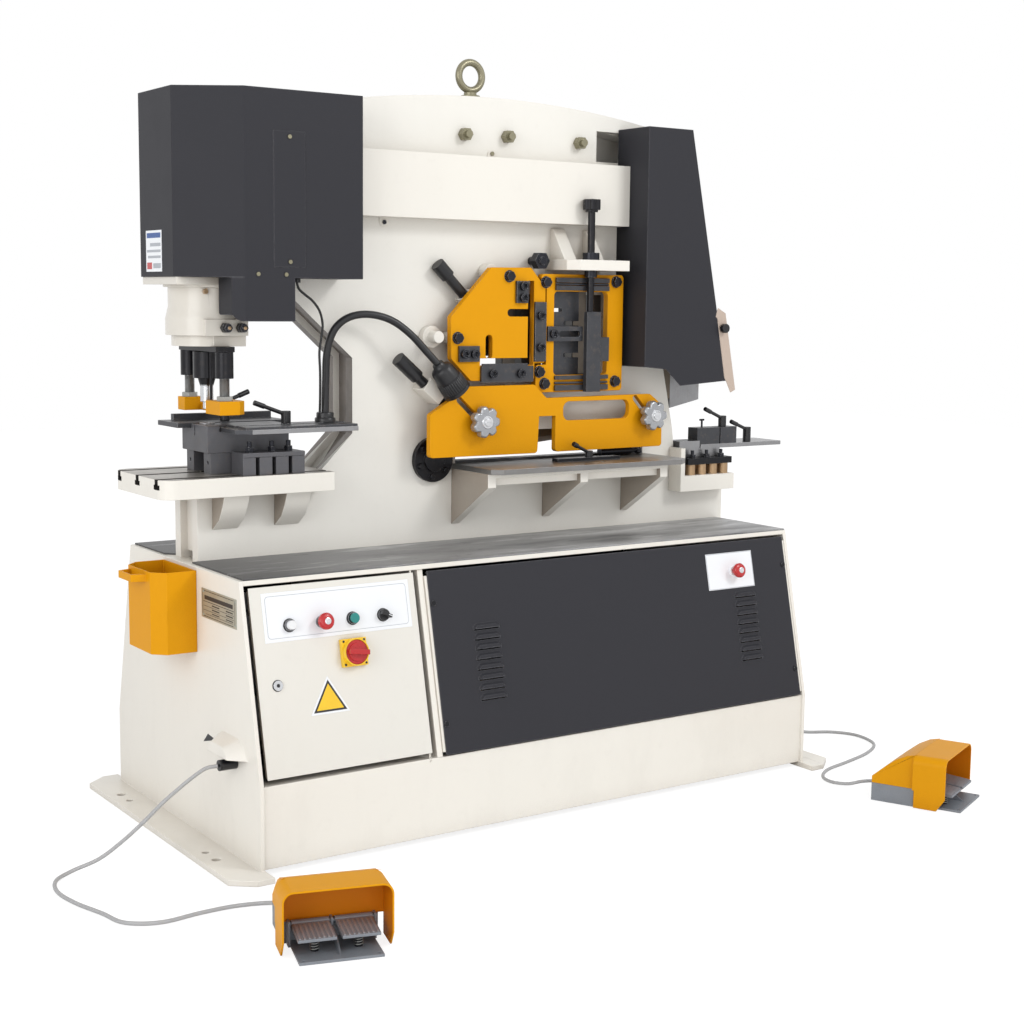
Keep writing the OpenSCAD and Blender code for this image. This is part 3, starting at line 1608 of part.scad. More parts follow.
// Side view of the rear of the hood, from the wide front part to the back
function hood_back(inset) = [
  [pedal_front - 4, pedal_box_top], [pedal_front - 4, pedal_height - inset],
  [110, pedal_height - 6 - inset], [140, pedal_height - 22 - inset],
  [170, pedal_height - 46 - inset], [pedal_depth - inset, 66 - inset * 0.5],
  [pedal_depth - inset, pedal_box_top]];

module pedal_hood()
  difference() {
    union() {
      translate([0, pedal_front, 0])
        rotate([90, 0, 0])
          linear_extrude(pedal_front)
            arch(0);
      wall(14, pedal_width - 14)
        polygon(hood_back(0));
    }
    translate([0, pedal_front - pedal_skin, 0])
      rotate([90, 0, 0])
        linear_extrude(pedal_front)
          arch(pedal_skin);
    wall(14 + pedal_skin, pedal_width - 14 - pedal_skin)
      polygon(concat([[pedal_front, 0]], [[pedal_front, pedal_height - pedal_skin]],
        [for (i = [2:5]) hood_back(pedal_skin)[i]], [[pedal_depth - pedal_skin, 0]]));
    block(14 + pedal_skin, pedal_width - 14 - pedal_skin, 40, pedal_front + 1, -1, pedal_box_top);
    block(-1, pedal_width + 1, pedal_front - pedal_skin - 1, pedal_front + 1, -1, pedal_box_top);
    // open lower corners at the front
    wall(-1, pedal_width + 1)
      polygon([[-1, -1], [-1, 36], [24, -1]]);
  }

module pedal_hoods()
  color(yellow)
    for (i = [0, 1])
      at_pedal(i)
        pedal_hood();

module pedal_base()
  difference() {
    union() {
      block(28, 202, -35, pedal_front, 0, 6);
      block(14, pedal_width - 14, pedal_front, pedal_depth, 0, pedal_box_top);
      // divider, hinge ears and their pin, spring cups
      wall(114, 117)
        polygon([[-20, 6], [pedal_front, 6], [pedal_front, 44], [20, 30]]);
      for (x = [23, 112, 203])
        block(x, x + 5, tread_pin[0] - 8, pedal_front - pedal_skin, x == 112 ? 30 : 0, 54);
      for (x = [[28, 112], [117, 203]])
        rod_x(tread_pin[0], tread_pin[1], x[0], x[1], tread_pin_d);
      for (t = tread_x)
        difference() {
          rod_z((t[0] + t[1]) / 2, 22, 6, 29, 17);
          rod_z((t[0] + t[1]) / 2, 22, 6, 30, 12);
        }
    }
    for (x = [38, 192])
      rod_z(x, -25, -1, 7, 7);
    rod_y(pedal_width / 2, 22, pedal_depth - 12, pedal_depth + 1, pedal_cable_d + 0.4);
  }

module pedal_bases()
  color(grey)
    for (i = [0, 1])
      at_pedal(i)
        pedal_base();

module tread(i, t)
  at_pedal(i)
    difference() {
      union() {
        wall(tread_x[t][0], tread_x[t][1])
          polygon([
            [-12, 37], [-8, 36], [tread_pin[0] - 6, 40], [tread_pin[0] - 6, 50],
            [-12, 43]]);
        rod_x(tread_pin[0], tread_pin[1], tread_x[t][0], tread_x[t][1], 18);
        rod_z((tread_x[t][0] + tread_x[t][1]) / 2, 22, 18, 40, 7);
      }
      rod_x(tread_pin[0], tread_pin[1], 0, pedal_width, tread_pin_d + 2 * fit);
    }

module tread_a1()
  color(steel)
    tread(0, 0);

module tread_a2()
  color(steel)
    tread(0, 1);

module tread_b1()
  color(steel)
    tread(1, 0);

module tread_b2()
  color(steel)
    tread(1, 1);

module pedal_cord_a()
  color([0.7, 0.7, 0.7])
    tube(smooth(route_a, 2), pedal_cable_d, 8, [0.1, 0.2, 1]);

module pedal_cord_b()
  color([0.7, 0.7, 0.7])
    tube(smooth(route_b, 2), pedal_cable_d, 8, [0.1, 0.2, 1]);

base_cabinet();
top_mats();
service_panels();
cabinet_door();
door_plates();
isolator_handle();
door_lock();
stop_button_a();
start_button();
mode_selector();
stop_button_b();
control_gear();
blank_plates();
scrap_bin();
frame();
frame_brackets();
fasteners();
eye_bolt();
name_cover();
pivot_pin();
punch_cover();
punch_housing();
stripper_holder();
stripper_yoke();
punch_ram();
punch_table();
die_bolster();
punch_die();
gauge_plates();
gauge_lever_a();
gauge_lever_b();
work_lamp();
lamp_cable();
cable_glands();
shear_plates();
fixed_blades();
shear_beam();
moving_blades();
holddown_bar();
holddown_screw();
angle_screw();
plate_screw();
flat_guard();
star_knob_a();
star_knob_b();
shear_table();
fence_lever();
notcher_cover();
notcher_table();
notch_die();
notch_lever_a();
notch_lever_b();
pedal_hoods();
pedal_bases();
tread_a1();
tread_a2();
tread_b1();
tread_b2();
pedal_cord_a();
pedal_cord_b();
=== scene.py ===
"""Looks of the hydraulic ironworker: finishes, soft edges, cords, lamp, treads and small trim around the fixed frame.

The shared frame is in metres: X along the front, the operator at -Y, Z up from the floor. Outlines, profiles, routes
and boxes are written in millimetres, and frames such as FRONT turn them into metres.
"""

from __future__ import annotations

import json
import logging
import math
from dataclasses import dataclass
from enum import Enum
from itertools import product
from typing import Callable, Iterable, Iterator, Sequence

import bmesh
import bpy
from mathutils import Matrix, Vector

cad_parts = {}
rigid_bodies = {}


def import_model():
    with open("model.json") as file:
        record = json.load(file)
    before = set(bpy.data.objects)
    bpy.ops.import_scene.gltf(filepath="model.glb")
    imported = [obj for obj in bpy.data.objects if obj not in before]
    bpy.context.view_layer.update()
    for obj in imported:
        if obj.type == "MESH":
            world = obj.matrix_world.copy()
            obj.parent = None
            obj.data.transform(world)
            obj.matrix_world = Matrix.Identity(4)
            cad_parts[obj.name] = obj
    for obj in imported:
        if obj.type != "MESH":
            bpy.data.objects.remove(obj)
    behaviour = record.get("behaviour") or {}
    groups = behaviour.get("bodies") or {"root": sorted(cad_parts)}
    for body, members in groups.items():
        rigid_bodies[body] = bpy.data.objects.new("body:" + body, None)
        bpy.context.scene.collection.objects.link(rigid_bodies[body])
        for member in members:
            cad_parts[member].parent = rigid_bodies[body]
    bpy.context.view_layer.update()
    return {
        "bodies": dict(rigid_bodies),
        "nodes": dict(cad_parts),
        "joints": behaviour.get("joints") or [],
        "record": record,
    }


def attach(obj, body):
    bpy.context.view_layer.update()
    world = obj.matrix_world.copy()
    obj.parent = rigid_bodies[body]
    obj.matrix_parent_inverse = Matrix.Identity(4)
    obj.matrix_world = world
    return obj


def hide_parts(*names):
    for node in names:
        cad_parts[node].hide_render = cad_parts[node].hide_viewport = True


LOG = logging.getLogger("ironworker")
MM = 0.001
TURN = 2 * math.pi

# The angle in degrees past which an edge stays sharp, and a reach that leaves nothing out.
SHARP = 35
ANY = (-3000, 3000)

Pair = tuple[float, float]
Point = tuple[float, float, float]
Colour = tuple[float, float, float]
Rule = Callable[[Vector, Vector], bool]


def at(place: Point, tilt: float = 0, axis: str = "X") -> Matrix:
    """Return a frame in millimetres at a place, tilted about an axis by degrees."""
    return Matrix.Scale(MM, 4) @ Matrix.Translation(place) @ Matrix.Rotation(math.radians(tilt), 4, axis)


# The base's sloping front: across, up the slope and outwards. Then the machine's left side: -Y to Y, up, and along X.
FRONT = at((0, -434, 209), math.degrees(math.atan2(461, 103)))
SIDE = Matrix(((0, 0, MM, 0), (MM, 0, 0, 0), (0, MM, 0, 0), (0, 0, 0, 1)))


# ---- shader tools ----


class Shade:
    """A shader socket that takes part in Python arithmetic."""

    def __init__(self, recipe: Recipe, socket: bpy.types.NodeSocket) -> None:
        """Keep the recipe and the socket."""
        self.recipe, self.socket = recipe, socket

    def maths(self, operation: str, other: Shade | float = 0.0, flip: bool = False) -> Shade:
        """Apply a Math operation, with the operands changed round where asked."""
        one, two = (other, self) if flip else (self, other)
        return self.recipe.add("ShaderNodeMath", {0: one, 1: two}, operation=operation)

    def __add__(self, other: Shade | float) -> Shade:
        """Sum."""
        return self.maths("ADD", other)

    def __sub__(self, other: Shade | float) -> Shade:
        """Difference."""
        return self.maths("SUBTRACT", other)

    def __rsub__(self, other: Shade | float) -> Shade:
        """Difference the other way round."""
        return self.maths("SUBTRACT", other, flip=True)

    def __mul__(self, other: Shade | float) -> Shade:
        """Product."""
        return self.maths("MULTIPLY", other)

    __radd__, __rmul__ = __add__, __mul__

    def above(self, edge: float, soft: float) -> Shade:
        """Return 0 below an edge and 1 above it, over a soft width."""
        values = {"Value": self, "From Min": edge - soft / 2, "From Max": edge + soft / 2}
        return self.recipe.add("ShaderNodeMapRange", values, "Result", interpolation_type="SMOOTHSTEP")

    def between(self, low: float, high: float, soft: float = 0.002) -> Shade:
        """Return 1 between two edges and 0 outside them, over a soft width."""
        return self.above(low, soft) * (1 - self.above(high, soft))

    def wave(self, pitch: float) -> Shade:
        """Return a sine from 0 to 1 that repeats every pitch."""
        return (self * (TURN / pitch)).maths("SINE") * 0.5 + 0.5


class Recipe:
    """The node tree of one material or of the surroundings."""

    def __init__(self, owner: bpy.types.Material | bpy.types.World) -> None:
        """Start with an empty tree.

        Args:
            owner: The material or the world whose tree it is.
        """
        owner.use_nodes = True
        self.owner, self.tree = owner, owner.node_tree
        self.tree.nodes.clear()

    def node(self, kind: str, inputs: dict | None = None, **settings: object) -> bpy.types.Node:
        """Add a node.

        Args:
            kind: The node's type.
            inputs: Values or links by socket name or number.
            settings: Its properties, set first.

        Returns:
            The node.
        """
        node = self.tree.nodes.new(kind)
        for key, value in settings.items():
            setattr(node, key, value)
        for key, value in (inputs or {}).items():
            socket = node.inputs[key]
            if isinstance(value, Shade):
                self.tree.links.new(value.socket, socket)
            else:
                socket.default_value = (*value, 1) if socket.type == "RGBA" else value
        return node

    def add(self, kind: str, inputs: dict | None = None, output: int | str = 0, **settings: object) -> Shade:
        """Add a node and return one of its outputs."""
        return Shade(self, self.node(kind, inputs, **settings).outputs[output])

    def place(self) -> Shade:
        """Return Object coordinates."""
        return self.add("ShaderNodeTexCoord", output="Object")

    def axis(self, name: str) -> Shade:
        """Return one Object coordinate, X, Y or Z, in metres."""
        return self.add("ShaderNodeSeparateXYZ", {0: self.place()}, name)

    def noise(self, scale: float, detail: float = 3, rough: float = 0.55, stretch: Point = (1, 1, 1)) -> Shade:
        """Return a noise from 0 to 1 on Object coordinates."""
        place = self.add("ShaderNodeMapping", {"Vector": self.place(), "Scale": stretch})
        return self.add("ShaderNodeTexNoise", {"Vector": place, "Scale": scale, "Detail": detail, "Roughness": rough})

    def mix(self, factor: Shade, first: Colour | Shade, second: Colour | Shade) -> Shade:
        """Mix two colours by a factor."""
        return self.add("ShaderNodeMix", {0: factor, 6: first, 7: second}, 2, data_type="RGBA")

    def edges(self, radius: float) -> Shade:
        """Find outer edges.

        Args:
            radius: How far from an edge, in metres.

        Returns:
            About 1 on outer edges and 0 elsewhere.
        """
        soft = self.add("ShaderNodeBevel", {"Radius": radius}, samples=4)
        hard = self.add("ShaderNodeNewGeometry", output="Normal")
        same = self.add("ShaderNodeVectorMath", {0: soft, 1: hard}, "Value", operation="DOT_PRODUCT")
        return (1 - same).above(0.10, 0.14)

    def recess(self, reach: float) -> Shade:
        """Return about 1 deep in corners and gaps and 0 in the open, felt over a reach."""
        return 1 - self.add("ShaderNodeAmbientOcclusion", {"Distance": reach}, "AO", samples=5)

    def bump(self, height: Shade, depth: float, strength: float) -> Shade:
        """Return a normal raised by a height map."""
        return self.add("ShaderNodeBump", {"Height": height, "Distance": depth, "Strength": strength})

    def finish(self, **sockets: Shade | float | Colour) -> bpy.types.Material:
        """Close the tree with one Principled shader, its sockets given with _ for a space."""
        shader = self.add("ShaderNodeBsdfPrincipled", {key.replace("_", " "): value for key, value in sockets.items()})
        self.node("ShaderNodeOutputMaterial", {"Surface": shader})
        return self.owner


# ---- finishes ----


@dataclass(frozen=True)
class Finish:
    """What every finish has: a name, a main colour and a recipe."""

    name: str
    colour: Colour

    def tone(self, by: float) -> Colour:
        """Return the main colour made lighter or darker by a factor."""
        return tuple(min(1.0, part * by) for part in self.colour)

    def build(self) -> bpy.types.Material:
        """Build the material."""
        return self.mixed(Recipe(bpy.data.materials.new(self.name)))

    def mixed(self, r: Recipe) -> bpy.types.Material:
        """Fill in the recipe of a material.

        Args:
            r: The empty recipe.

        Returns:
            The material.
        """
        raise NotImplementedError


@dataclass(frozen=True)
class SprayedPaint(Finish):
    """Factory paint on steel sheet or plate, with light orange peel and slight handling marks."""

    roughness: float = 0.38
    coat: float = 0.0
    peel: float = 0.00012
    uneven: float = 0.05
    # Edge chips: how many, their reach and their colour. On the charcoal paint the lighter chips stand in as painted
    # highlight besides worn spots.
    wear_and_highlight: float = 0.0
    rim: float = 0.0016
    under: Colour = (0.30, 0.29, 0.28)
    soil: float = 0.0
    grime: Colour = (0.46, 0.42, 0.37)
    # Strength of the painted shade in corners and gaps, which are darkened towards the shadow colour below.
    depth: float = 0.0
    shadow: Colour = (0.0, 0.0, 0.0)
    gloss: float = 0.5
    # Reach in X and Z of a box painted in the inside colour below, a painted shade where the inside is seen through
    # openings.
    painted_shade_box: tuple[Pair, Pair] | None = None
    inside: Colour = (0.045, 0.040, 0.036)

    def mixed(self, r: Recipe) -> bpy.types.Material:
        """Mix uneven paint, soil low down, painted shade in corners and in an X-Z box, and edge chips, partly a painted
        highlight.
        """
        cloud = r.noise(2.3, 4) * 0.7 + r.noise(60) * 0.3
        colour = r.mix(cloud, self.tone(1 - self.uneven), self.tone(1 + self.uneven))
        if self.soil:
            low = 1 - r.axis("Z").above(0.22, 0.44)
            marks = r.noise(5.0, 6, 0.65, (1, 1, 0.35)).above(0.56, 0.22)
            smudge = r.noise(26, 5, 0.7).above(0.62, 0.12)
            colour = r.mix((low * 0.7 + 0.3) * marks * self.soil + smudge * self.soil * 0.35, colour, self.grime)
        # Painted shade: corners and gaps darkened towards the shadow colour.
        if self.depth:
            colour = r.mix(r.recess(0.12).above(0.60, 0.56) * self.depth, colour, self.shadow)
        # Painted shade: a box in X and Z darkened to the inside colour.
        if self.painted_shade_box:
            across, up = (r.axis(name).between(*reach) for name, reach in zip("XZ", self.painted_shade_box))
            colour = r.mix(across * up, colour, self.inside)
        # Edge chips; on dark paint their lighter colour is also a painted highlight.
        if self.wear_and_highlight:
            chips_and_highlights = r.edges(self.rim) * r.noise(90, 4, 0.7).above(0.62 - 0.2 * self.wear_and_highlight, 0.10) * self.wear_and_highlight
            colour = r.mix(chips_and_highlights, colour, self.under)
        return r.finish(
            Base_Color=colour,
            Roughness=r.noise(9, 4) * 0.10 + (self.roughness - 0.05),
            Normal=r.bump(r.noise(330, 2, 0.5), self.peel, 0.5),
            Coat_Weight=self.coat,
            Coat_Roughness=0.12,
            Specular_IOR_Level=self.gloss,
        )


class Grain(Enum):
    """Direction in which a steel face was ground."""

    ALONG_X = (0.02, 1.0, 1.0)
    ALONG_Z = (1.0, 1.0, 0.02)
    NONE = (1.0, 1.0, 1.0)


@dataclass(frozen=True)
class GroundSteel(Finish):
    """Bare or blackened tool steel with grinding lines, stains, and light edges, partly worn and partly a painted
    highlight.
    """

    grain: Grain
    roughness: float
    metallic: float
    stains: float
    # How far edges are lightened, partly as worn metal and partly as a painted highlight.
    bright: float
    scratch: float = 0.00005
    rust: Colour = (0.20, 0.15, 0.11)
    edge_wear_and_highlight: Colour = (0.72, 0.72, 0.73)

    def mixed(self, r: Recipe) -> bpy.types.Material:
        """Mix grinding lines, dark clouds, rust spots, and light edges, partly worn and partly a painted highlight."""
        lines, cloud = r.noise(900, 2, 0.6, self.grain.value), r.noise(14, 5, 0.62)
        colour = r.mix(lines, self.tone(0.86), self.tone(1.14))
        colour = r.mix(cloud.above(0.5, 0.5) * self.stains, colour, self.tone(0.55))
        colour = r.mix(r.noise(70, 4, 0.7).above(0.60, 0.2) * self.stains * 0.5, colour, self.rust)
        # Light edges: partly worn metal, partly a painted highlight.
        colour = r.mix(r.edges(0.0012) * self.bright, colour, self.edge_wear_and_highlight)
        rough, normal = cloud * 0.18 + lines * 0.08 + (self.roughness - 0.13), r.bump(lines, self.scratch, 0.5)
        return r.finish(Base_Color=colour, Metallic=self.metallic, Roughness=rough, Normal=normal)


@dataclass(frozen=True)
class MouldedPlastic(Finish):
    """Moulded plastic with fine spark-eroded grain."""

    roughness: float
    grain: float = 0.0001
    coat: float = 0.0

    def mixed(self, r: Recipe) -> bpy.types.Material:
        """Mix broad tones and pale edges."""
        broad = r.noise(30)
        colour = r.mix(broad, self.tone(0.92), self.tone(1.1))
        return r.finish(
            Base_Color=r.mix(r.edges(0.0008) * 0.25, colour, self.tone(1.6)),
            Roughness=broad * 0.12 + (self.roughness - 0.06),
            Normal=r.bump(r.noise(1400, 2), self.grain, 0.6),
            Coat_Weight=self.coat,
            Coat_Roughness=0.08,
        )


@dataclass(frozen=True)
class RibbedRubber(Finish):
    """Floor-mat rubber with narrow ribs along the machine, and smooth worn patches with a painted sheen that grows to
    the right.
    """

    pitch: float = 0.006
    # Pale colour of the smooth patches, mostly a painted sheen.
    polished: Colour = (0.60, 0.60, 0.61)
    scuffed: Colour = (0.030, 0.030, 0.032)
    border: Colour = (0.012, 0.012, 0.013)

    def mixed(self, r: Recipe) -> bpy.types.Material:
        """Mix ribs, smooth worn patches with painted sheen, streaks, scuffs and dark edges."""
        rib = r.axis("Y").wave(self.pitch)
        # Painted sheen: pale patches that grow towards the right, partly real smoothness that lowers the roughness
        # below.
        polish_and_sheen = r.noise(2.6, 5, 0.62, (0.45, 1.6, 1)).above(0.46, 0.40) * (r.axis("X") * 0.62 + 0.56)
        streak = r.noise(10, 6, 0.7, (0.16, 1.4, 1)).above(0.60, 0.10)
        scuffs = r.noise(30, 5, 0.75, (0.3, 1, 1)).above(0.63, 0.08)
        colour = r.mix(rib * 0.5, self.colour, self.tone(1.35))
        # The patches and the streaks are lightened towards the pale sheen colour.
        colour = r.mix(streak * 0.5, r.mix(polish_and_sheen, colour, self.polished), self.polished)
        colour = r.mix(r.edges(0.004) * 0.85, r.mix(scuffs * 0.55, colour, self.scuffed), self.border)
        rough = 0.46 - polish_and_sheen * 0.16 - streak * 0.08
        return r.finish(Base_Color=colour, Roughness=rough, Normal=r.bump(rib, 0.0004, 0.5))


@dataclass(frozen=True)
class BraidedSheath(Finish):
    """Braided cable sheath that reads the cord's own lengthwise map."""

    strand: float = 0.0036
    metal: float = 0.25

    def mixed(self, r: Recipe) -> bpy.types.Material:
        """Cross two sets of strands."""
        uv = r.add("ShaderNodeUVMap", uv_map="along")
        along, around = (r.add("ShaderNodeSeparateXYZ", {0: uv}, name) for name in "XY")
        lead = around * (self.strand * 6)
        weave = (along + lead).wave(self.strand) * (along - lead).wave(self.strand)
        colour, rough = r.mix(weave, self.tone(0.55), self.tone(1.15)), 0.5 - weave * 0.12
        return r.finish(Base_Color=colour, Metallic=self.metal, Roughness=rough, Normal=r.bump(weave, 0.0007, 0.8))


@dataclass(frozen=True)
class ThreadedSteel(Finish):
    """Bright upright screw thread."""

    pitch: float = 0.0025
    metallic: float = 0.9
    stained: Colour = (0.22, 0.19, 0.15)

    def mixed(self, r: Recipe) -> bpy.types.Material:
        """Mix the turns and stains."""
        turn, stain = r.axis("Z").wave(self.pitch), r.noise(40, 4)
        colour = r.mix(turn, self.tone(0.35), self.tone(1.1))
        colour = r.mix(stain.above(0.55, 0.3) * 0.3, colour, self.stained)
        rough, normal = stain * 0.2 + 0.22, r.bump(turn, 0.0012, 0.9)
        return r.finish(Base_Color=colour, Metallic=self.metallic, Roughness=rough, Normal=normal)


@dataclass(frozen=True)
class CastAlloy(Finish):
    """Blasted or chromed casting with fine pitting."""

    roughness: float
    pits: float
    metallic: float = 0.8

    def mixed(self, r: Recipe) -> bpy.types.Material:
        """Mix clouds and dark pits."""
        pits, cloud = r.noise(420, 3, 0.6), r.noise(20, 4)
        colour = r.mix(cloud, self.tone(0.84), self.tone(1.12))
        colour = r.mix(pits.above(0.64, 0.1) * 0.35, colour, self.tone(0.45))
        rough, normal = cloud * 0.16 + (self.roughness - 0.08), r.bump(pits, self.pits, 0.5)
        return r.finish(Base_Color=colour, Metallic=self.metallic, Roughness=rough, Normal=normal)


@dataclass(frozen=True)
class ClearLens(Finish):
    """Milky lens of a lamp or indicator."""

    glow: float

    def mixed(self, r: Recipe) -> bpy.types.Material:
        """Mix facets under a clear coat, with a faint glow."""
        facets = r.noise(260, 2)
        return r.finish(
            Base_Color=r.mix(facets, self.tone(0.9), self.colour),
            Roughness=0.14,
            Coat_Weight=0.6,
            Normal=r.bump(facets, 0.0002, 0.4),
            Emission_Color=self.colour,
            Emission_Strength=self.glow,
        )


# Shared settings of the cream panels; their shadow colour is that of the painted shade in corners.
PANEL: dict = {"roughness": 0.38, "coat": 0.10, "uneven": 0.015, "soil": 0.10, "shadow": (0.25, 0.19, 0.14)}
WORKED: dict = {"roughness": 0.42, "peel": 0.0003, "gloss": 0.12}


class Kit(Enum):
    """Every finish on the machine."""

    # Where a paint has a depth, its corners and gaps are darkened towards its shadow colour as painted shade.
    CREAM = SprayedPaint("cream_paint", (0.83, 0.80, 0.735), depth=0.5, **PANEL)
    # The frame's paint has painted shade in a box where its inside is seen through slots and gaps.
    FRAME_CREAM = SprayedPaint(
        "frame_paint", (0.83, 0.81, 0.755), depth=0.45, painted_shade_box=((-0.06, 0.40), (1.108, 1.33)), **PANEL
    )
    DOOR_CREAM = SprayedPaint("door_paint", (0.755, 0.735, 0.68), depth=0.8, **PANEL)
    # Painted shade: a darker copy of the cream for the ram housing.
    HOUSING = SprayedPaint(
        "housing_paint", (0.70, 0.665, 0.60), 0.30, 0.35, uneven=0.02, soil=0.12, depth=0.85, shadow=(0.22, 0.17, 0.12)
    )
    # Painted shade: a dark brown copy of the cream for the brackets' left flanks under the tables.
    SHADED_CREAM = SprayedPaint(
        "shaded_cream", (0.36, 0.315, 0.265), 0.42, 0.05, uneven=0.10, soil=0.3, depth=0.7, shadow=(0.16, 0.12, 0.09)
    )
    STRIP_CREAM = SprayedPaint("strip_paint", (0.52, 0.42, 0.35), 0.42, uneven=0.02)
    # The charcoal's lighter edge chips are a painted highlight on edges and louvres, besides worn spots.
    CHARCOAL = SprayedPaint(
        "charcoal_paint", (0.036, 0.036, 0.042), 0.48, 0.0, 0.0002, 0.06, 1.0, 0.0036, (0.14, 0.14, 0.15),
        depth=0.9, shadow=(0.006, 0.006, 0.007), gloss=0.12,
    )
    ORANGE = SprayedPaint(
        "orange_paint", (0.74, 0.325, 0.003), uneven=0.06, wear_and_highlight=0.3, depth=0.75, shadow=(0.26, 0.08, 0.001), **WORKED
    )
    # Painted shade: a darker orange for the insides of the pedal hoods.
    DEEP_ORANGE = SprayedPaint("inner_orange", (0.62, 0.190, 0.004), uneven=0.08, **WORKED)
    WHITE = SprayedPaint("white_plate", (0.86, 0.88, 0.91), 0.30, 0.1, uneven=0.01)
    INK = SprayedPaint("black_print", (0.022, 0.022, 0.024), 0.5, uneven=0.02)
    GREY_INK = SprayedPaint("grey_print", (0.42, 0.44, 0.48), 0.5, uneven=0.02)
    BLUE_INK = SprayedPaint("blue_print", (0.05, 0.11, 0.32), 0.5, uneven=0.02)
    MAT = RibbedRubber("mat_rubber", (0.055, 0.055, 0.057))
    BLACK = MouldedPlastic("black_plastic", (0.009, 0.009, 0.011), 0.34)
    RED = MouldedPlastic("red_plastic", (0.47, 0.009, 0.012), 0.26, 0.00004, 0.3)
    GREEN = MouldedPlastic("green_plastic", (0.008, 0.22, 0.20), 0.26, 0.00004, 0.3)
    SIGNAL = MouldedPlastic("yellow_plastic", (0.86, 0.55, 0.02), 0.32, 0.00004, 0.2)
    GEAR = MouldedPlastic("light_grey_plastic", (0.50, 0.51, 0.53), 0.42)
    CABLE = MouldedPlastic("cable_sheath", (0.014, 0.014, 0.015), 0.5)
    DARK_STEEL = GroundSteel("dark_steel", (0.062, 0.064, 0.072), Grain.ALONG_X, 0.38, 0.45, 0.4, 0.8)
    BOLSTER_STEEL = GroundSteel("bolster_steel", (0.125, 0.125, 0.136), Grain.ALONG_X, 0.42, 0.40, 0.35, 0.8)
    TABLE_STEEL = GroundSteel("table_steel", (0.27, 0.265, 0.26), Grain.ALONG_X, 0.32, 0.75, 0.35, 0.7)
    WORN_TOP = GroundSteel("worn_table_top", (0.42, 0.39, 0.35), Grain.ALONG_X, 0.34, 0.60, 0.6, 0.4)
    SLOT_BLACK = GroundSteel("slot_black", (0.018, 0.017, 0.016), Grain.NONE, 0.6, 0.2, 0.2, 0.1)
    BLADE_STEEL = GroundSteel("blade_steel", (0.34, 0.34, 0.35), Grain.ALONG_Z, 0.34, 0.8, 0.3, 0.5)
    BEAM_STEEL = GroundSteel("beam_steel", (0.20, 0.16, 0.12), Grain.NONE, 0.55, 0.45, 0.6, 0.2)
    BLACK_OXIDE = GroundSteel("black_oxide", (0.010, 0.010, 0.013), Grain.NONE, 0.30, 0.5, 0.1, 0.5)
    BOLT_BLACK = GroundSteel("bolt_black", (0.020, 0.021, 0.028), Grain.NONE, 0.28, 0.6, 0.1, 0.8)
    THROAT = GroundSteel("throat_steel", (0.25, 0.225, 0.205), Grain.ALONG_Z, 0.42, 0.45, 0.55, 0.5)
    BRASS = GroundSteel("bronze", (0.46, 0.31, 0.18), Grain.NONE, 0.38, 0.75, 0.3, 0.4)
    ZINC = CastAlloy("zinc_plate", (0.36, 0.36, 0.34), 0.34, 0.0001)
    AGED_ZINC = CastAlloy("aged_zinc", (0.27, 0.25, 0.17), 0.34, 0.0003, 0.7)
    CHROME = CastAlloy("satin_chrome", (0.70, 0.71, 0.73), 0.20, 0.00008, 0.9)
    COLLAR = CastAlloy("dark_chrome", (0.20, 0.20, 0.21), 0.22, 0.00008, 0.9)
    ALLOY = CastAlloy("grey_casting", (0.25, 0.27, 0.30), 0.50, 0.0004, 0.35)
    TREAD = CastAlloy("tread_casting", (0.36, 0.36, 0.38), 0.42, 0.0003, 0.5)
    STAR_ALLOY = CastAlloy("star_alloy", (0.40, 0.41, 0.43), 0.26, 0.00025, 0.6)
    PLATE = CastAlloy("blank_plate", (0.44, 0.45, 0.39), 0.34, 0.0001, 0.5)
    THREAD = ThreadedSteel("thread", (0.42, 0.42, 0.42))
    SHEATH = BraidedSheath("braided_sheath", (0.62, 0.62, 0.63))
    LENS = ClearLens("lens", (0.80, 0.81, 0.82), 0.05)


class Paintbox(dict):
    """The materials by finish, each built when it is first asked for."""

    def __missing__(self, kit: Kit) -> bpy.types.Material:
        """Build a finish."""
        return self.setdefault(kit, kit.value.build())


# ---- mesh tools ----


def curve_through(route: Sequence[Point], steps: int) -> list[Vector]:
    """Return a smooth line through points.

    Args:
        route: The points in millimetres.
        steps: Pieces between two of them.

    Returns:
        The line's points in metres.
    """
    points = [Vector(point) for point in route]
    points = [2 * points[0] - points[1], *points, 2 * points[-1] - points[-2]]
    line: list[Vector] = []
    for a, b, c, d in zip(points, points[1:], points[2:], points[3:]):
        for t in (k / steps for k in range(steps)):
            bend = (2 * a - 5 * b + 4 * c - d) * t**2 + (3 * b - a - 3 * c + d) * t**3
            line.append(0.5 * (2 * b + (c - a) * t + bend))
    return [point * MM for point in (*line, points[-2])]


def circle(sides: int, radius: float = 1, centre: Pair = (0, 0)) -> list[Pair]:
    """Return the outline of a circle."""
    angles = (TURN * k / sides for k in range(sides))
    return [(centre[0] + radius * math.cos(angle), centre[1] + radius * math.sin(angle)) for angle in angles]


def star(lobes: int, radius: float, depth: float) -> list[Pair]:
    """Return the outline of a grip with round lobes and hollows of a depth."""
    reaches = (radius - depth * (0.5 - 0.5 * math.cos(TURN * k / 20)) ** 2.6 for k in range(lobes * 20))
    return [(x * reach, y * reach) for (x, y), reach in zip(circle(lobes * 20), reaches)]


def box(x: Pair, y: Pair) -> list[Pair]:
    """Return the outline of a rectangle."""
    return [(x[0], y[0]), (x[1], y[0]), (x[1], y[1]), (x[0], y[1])]


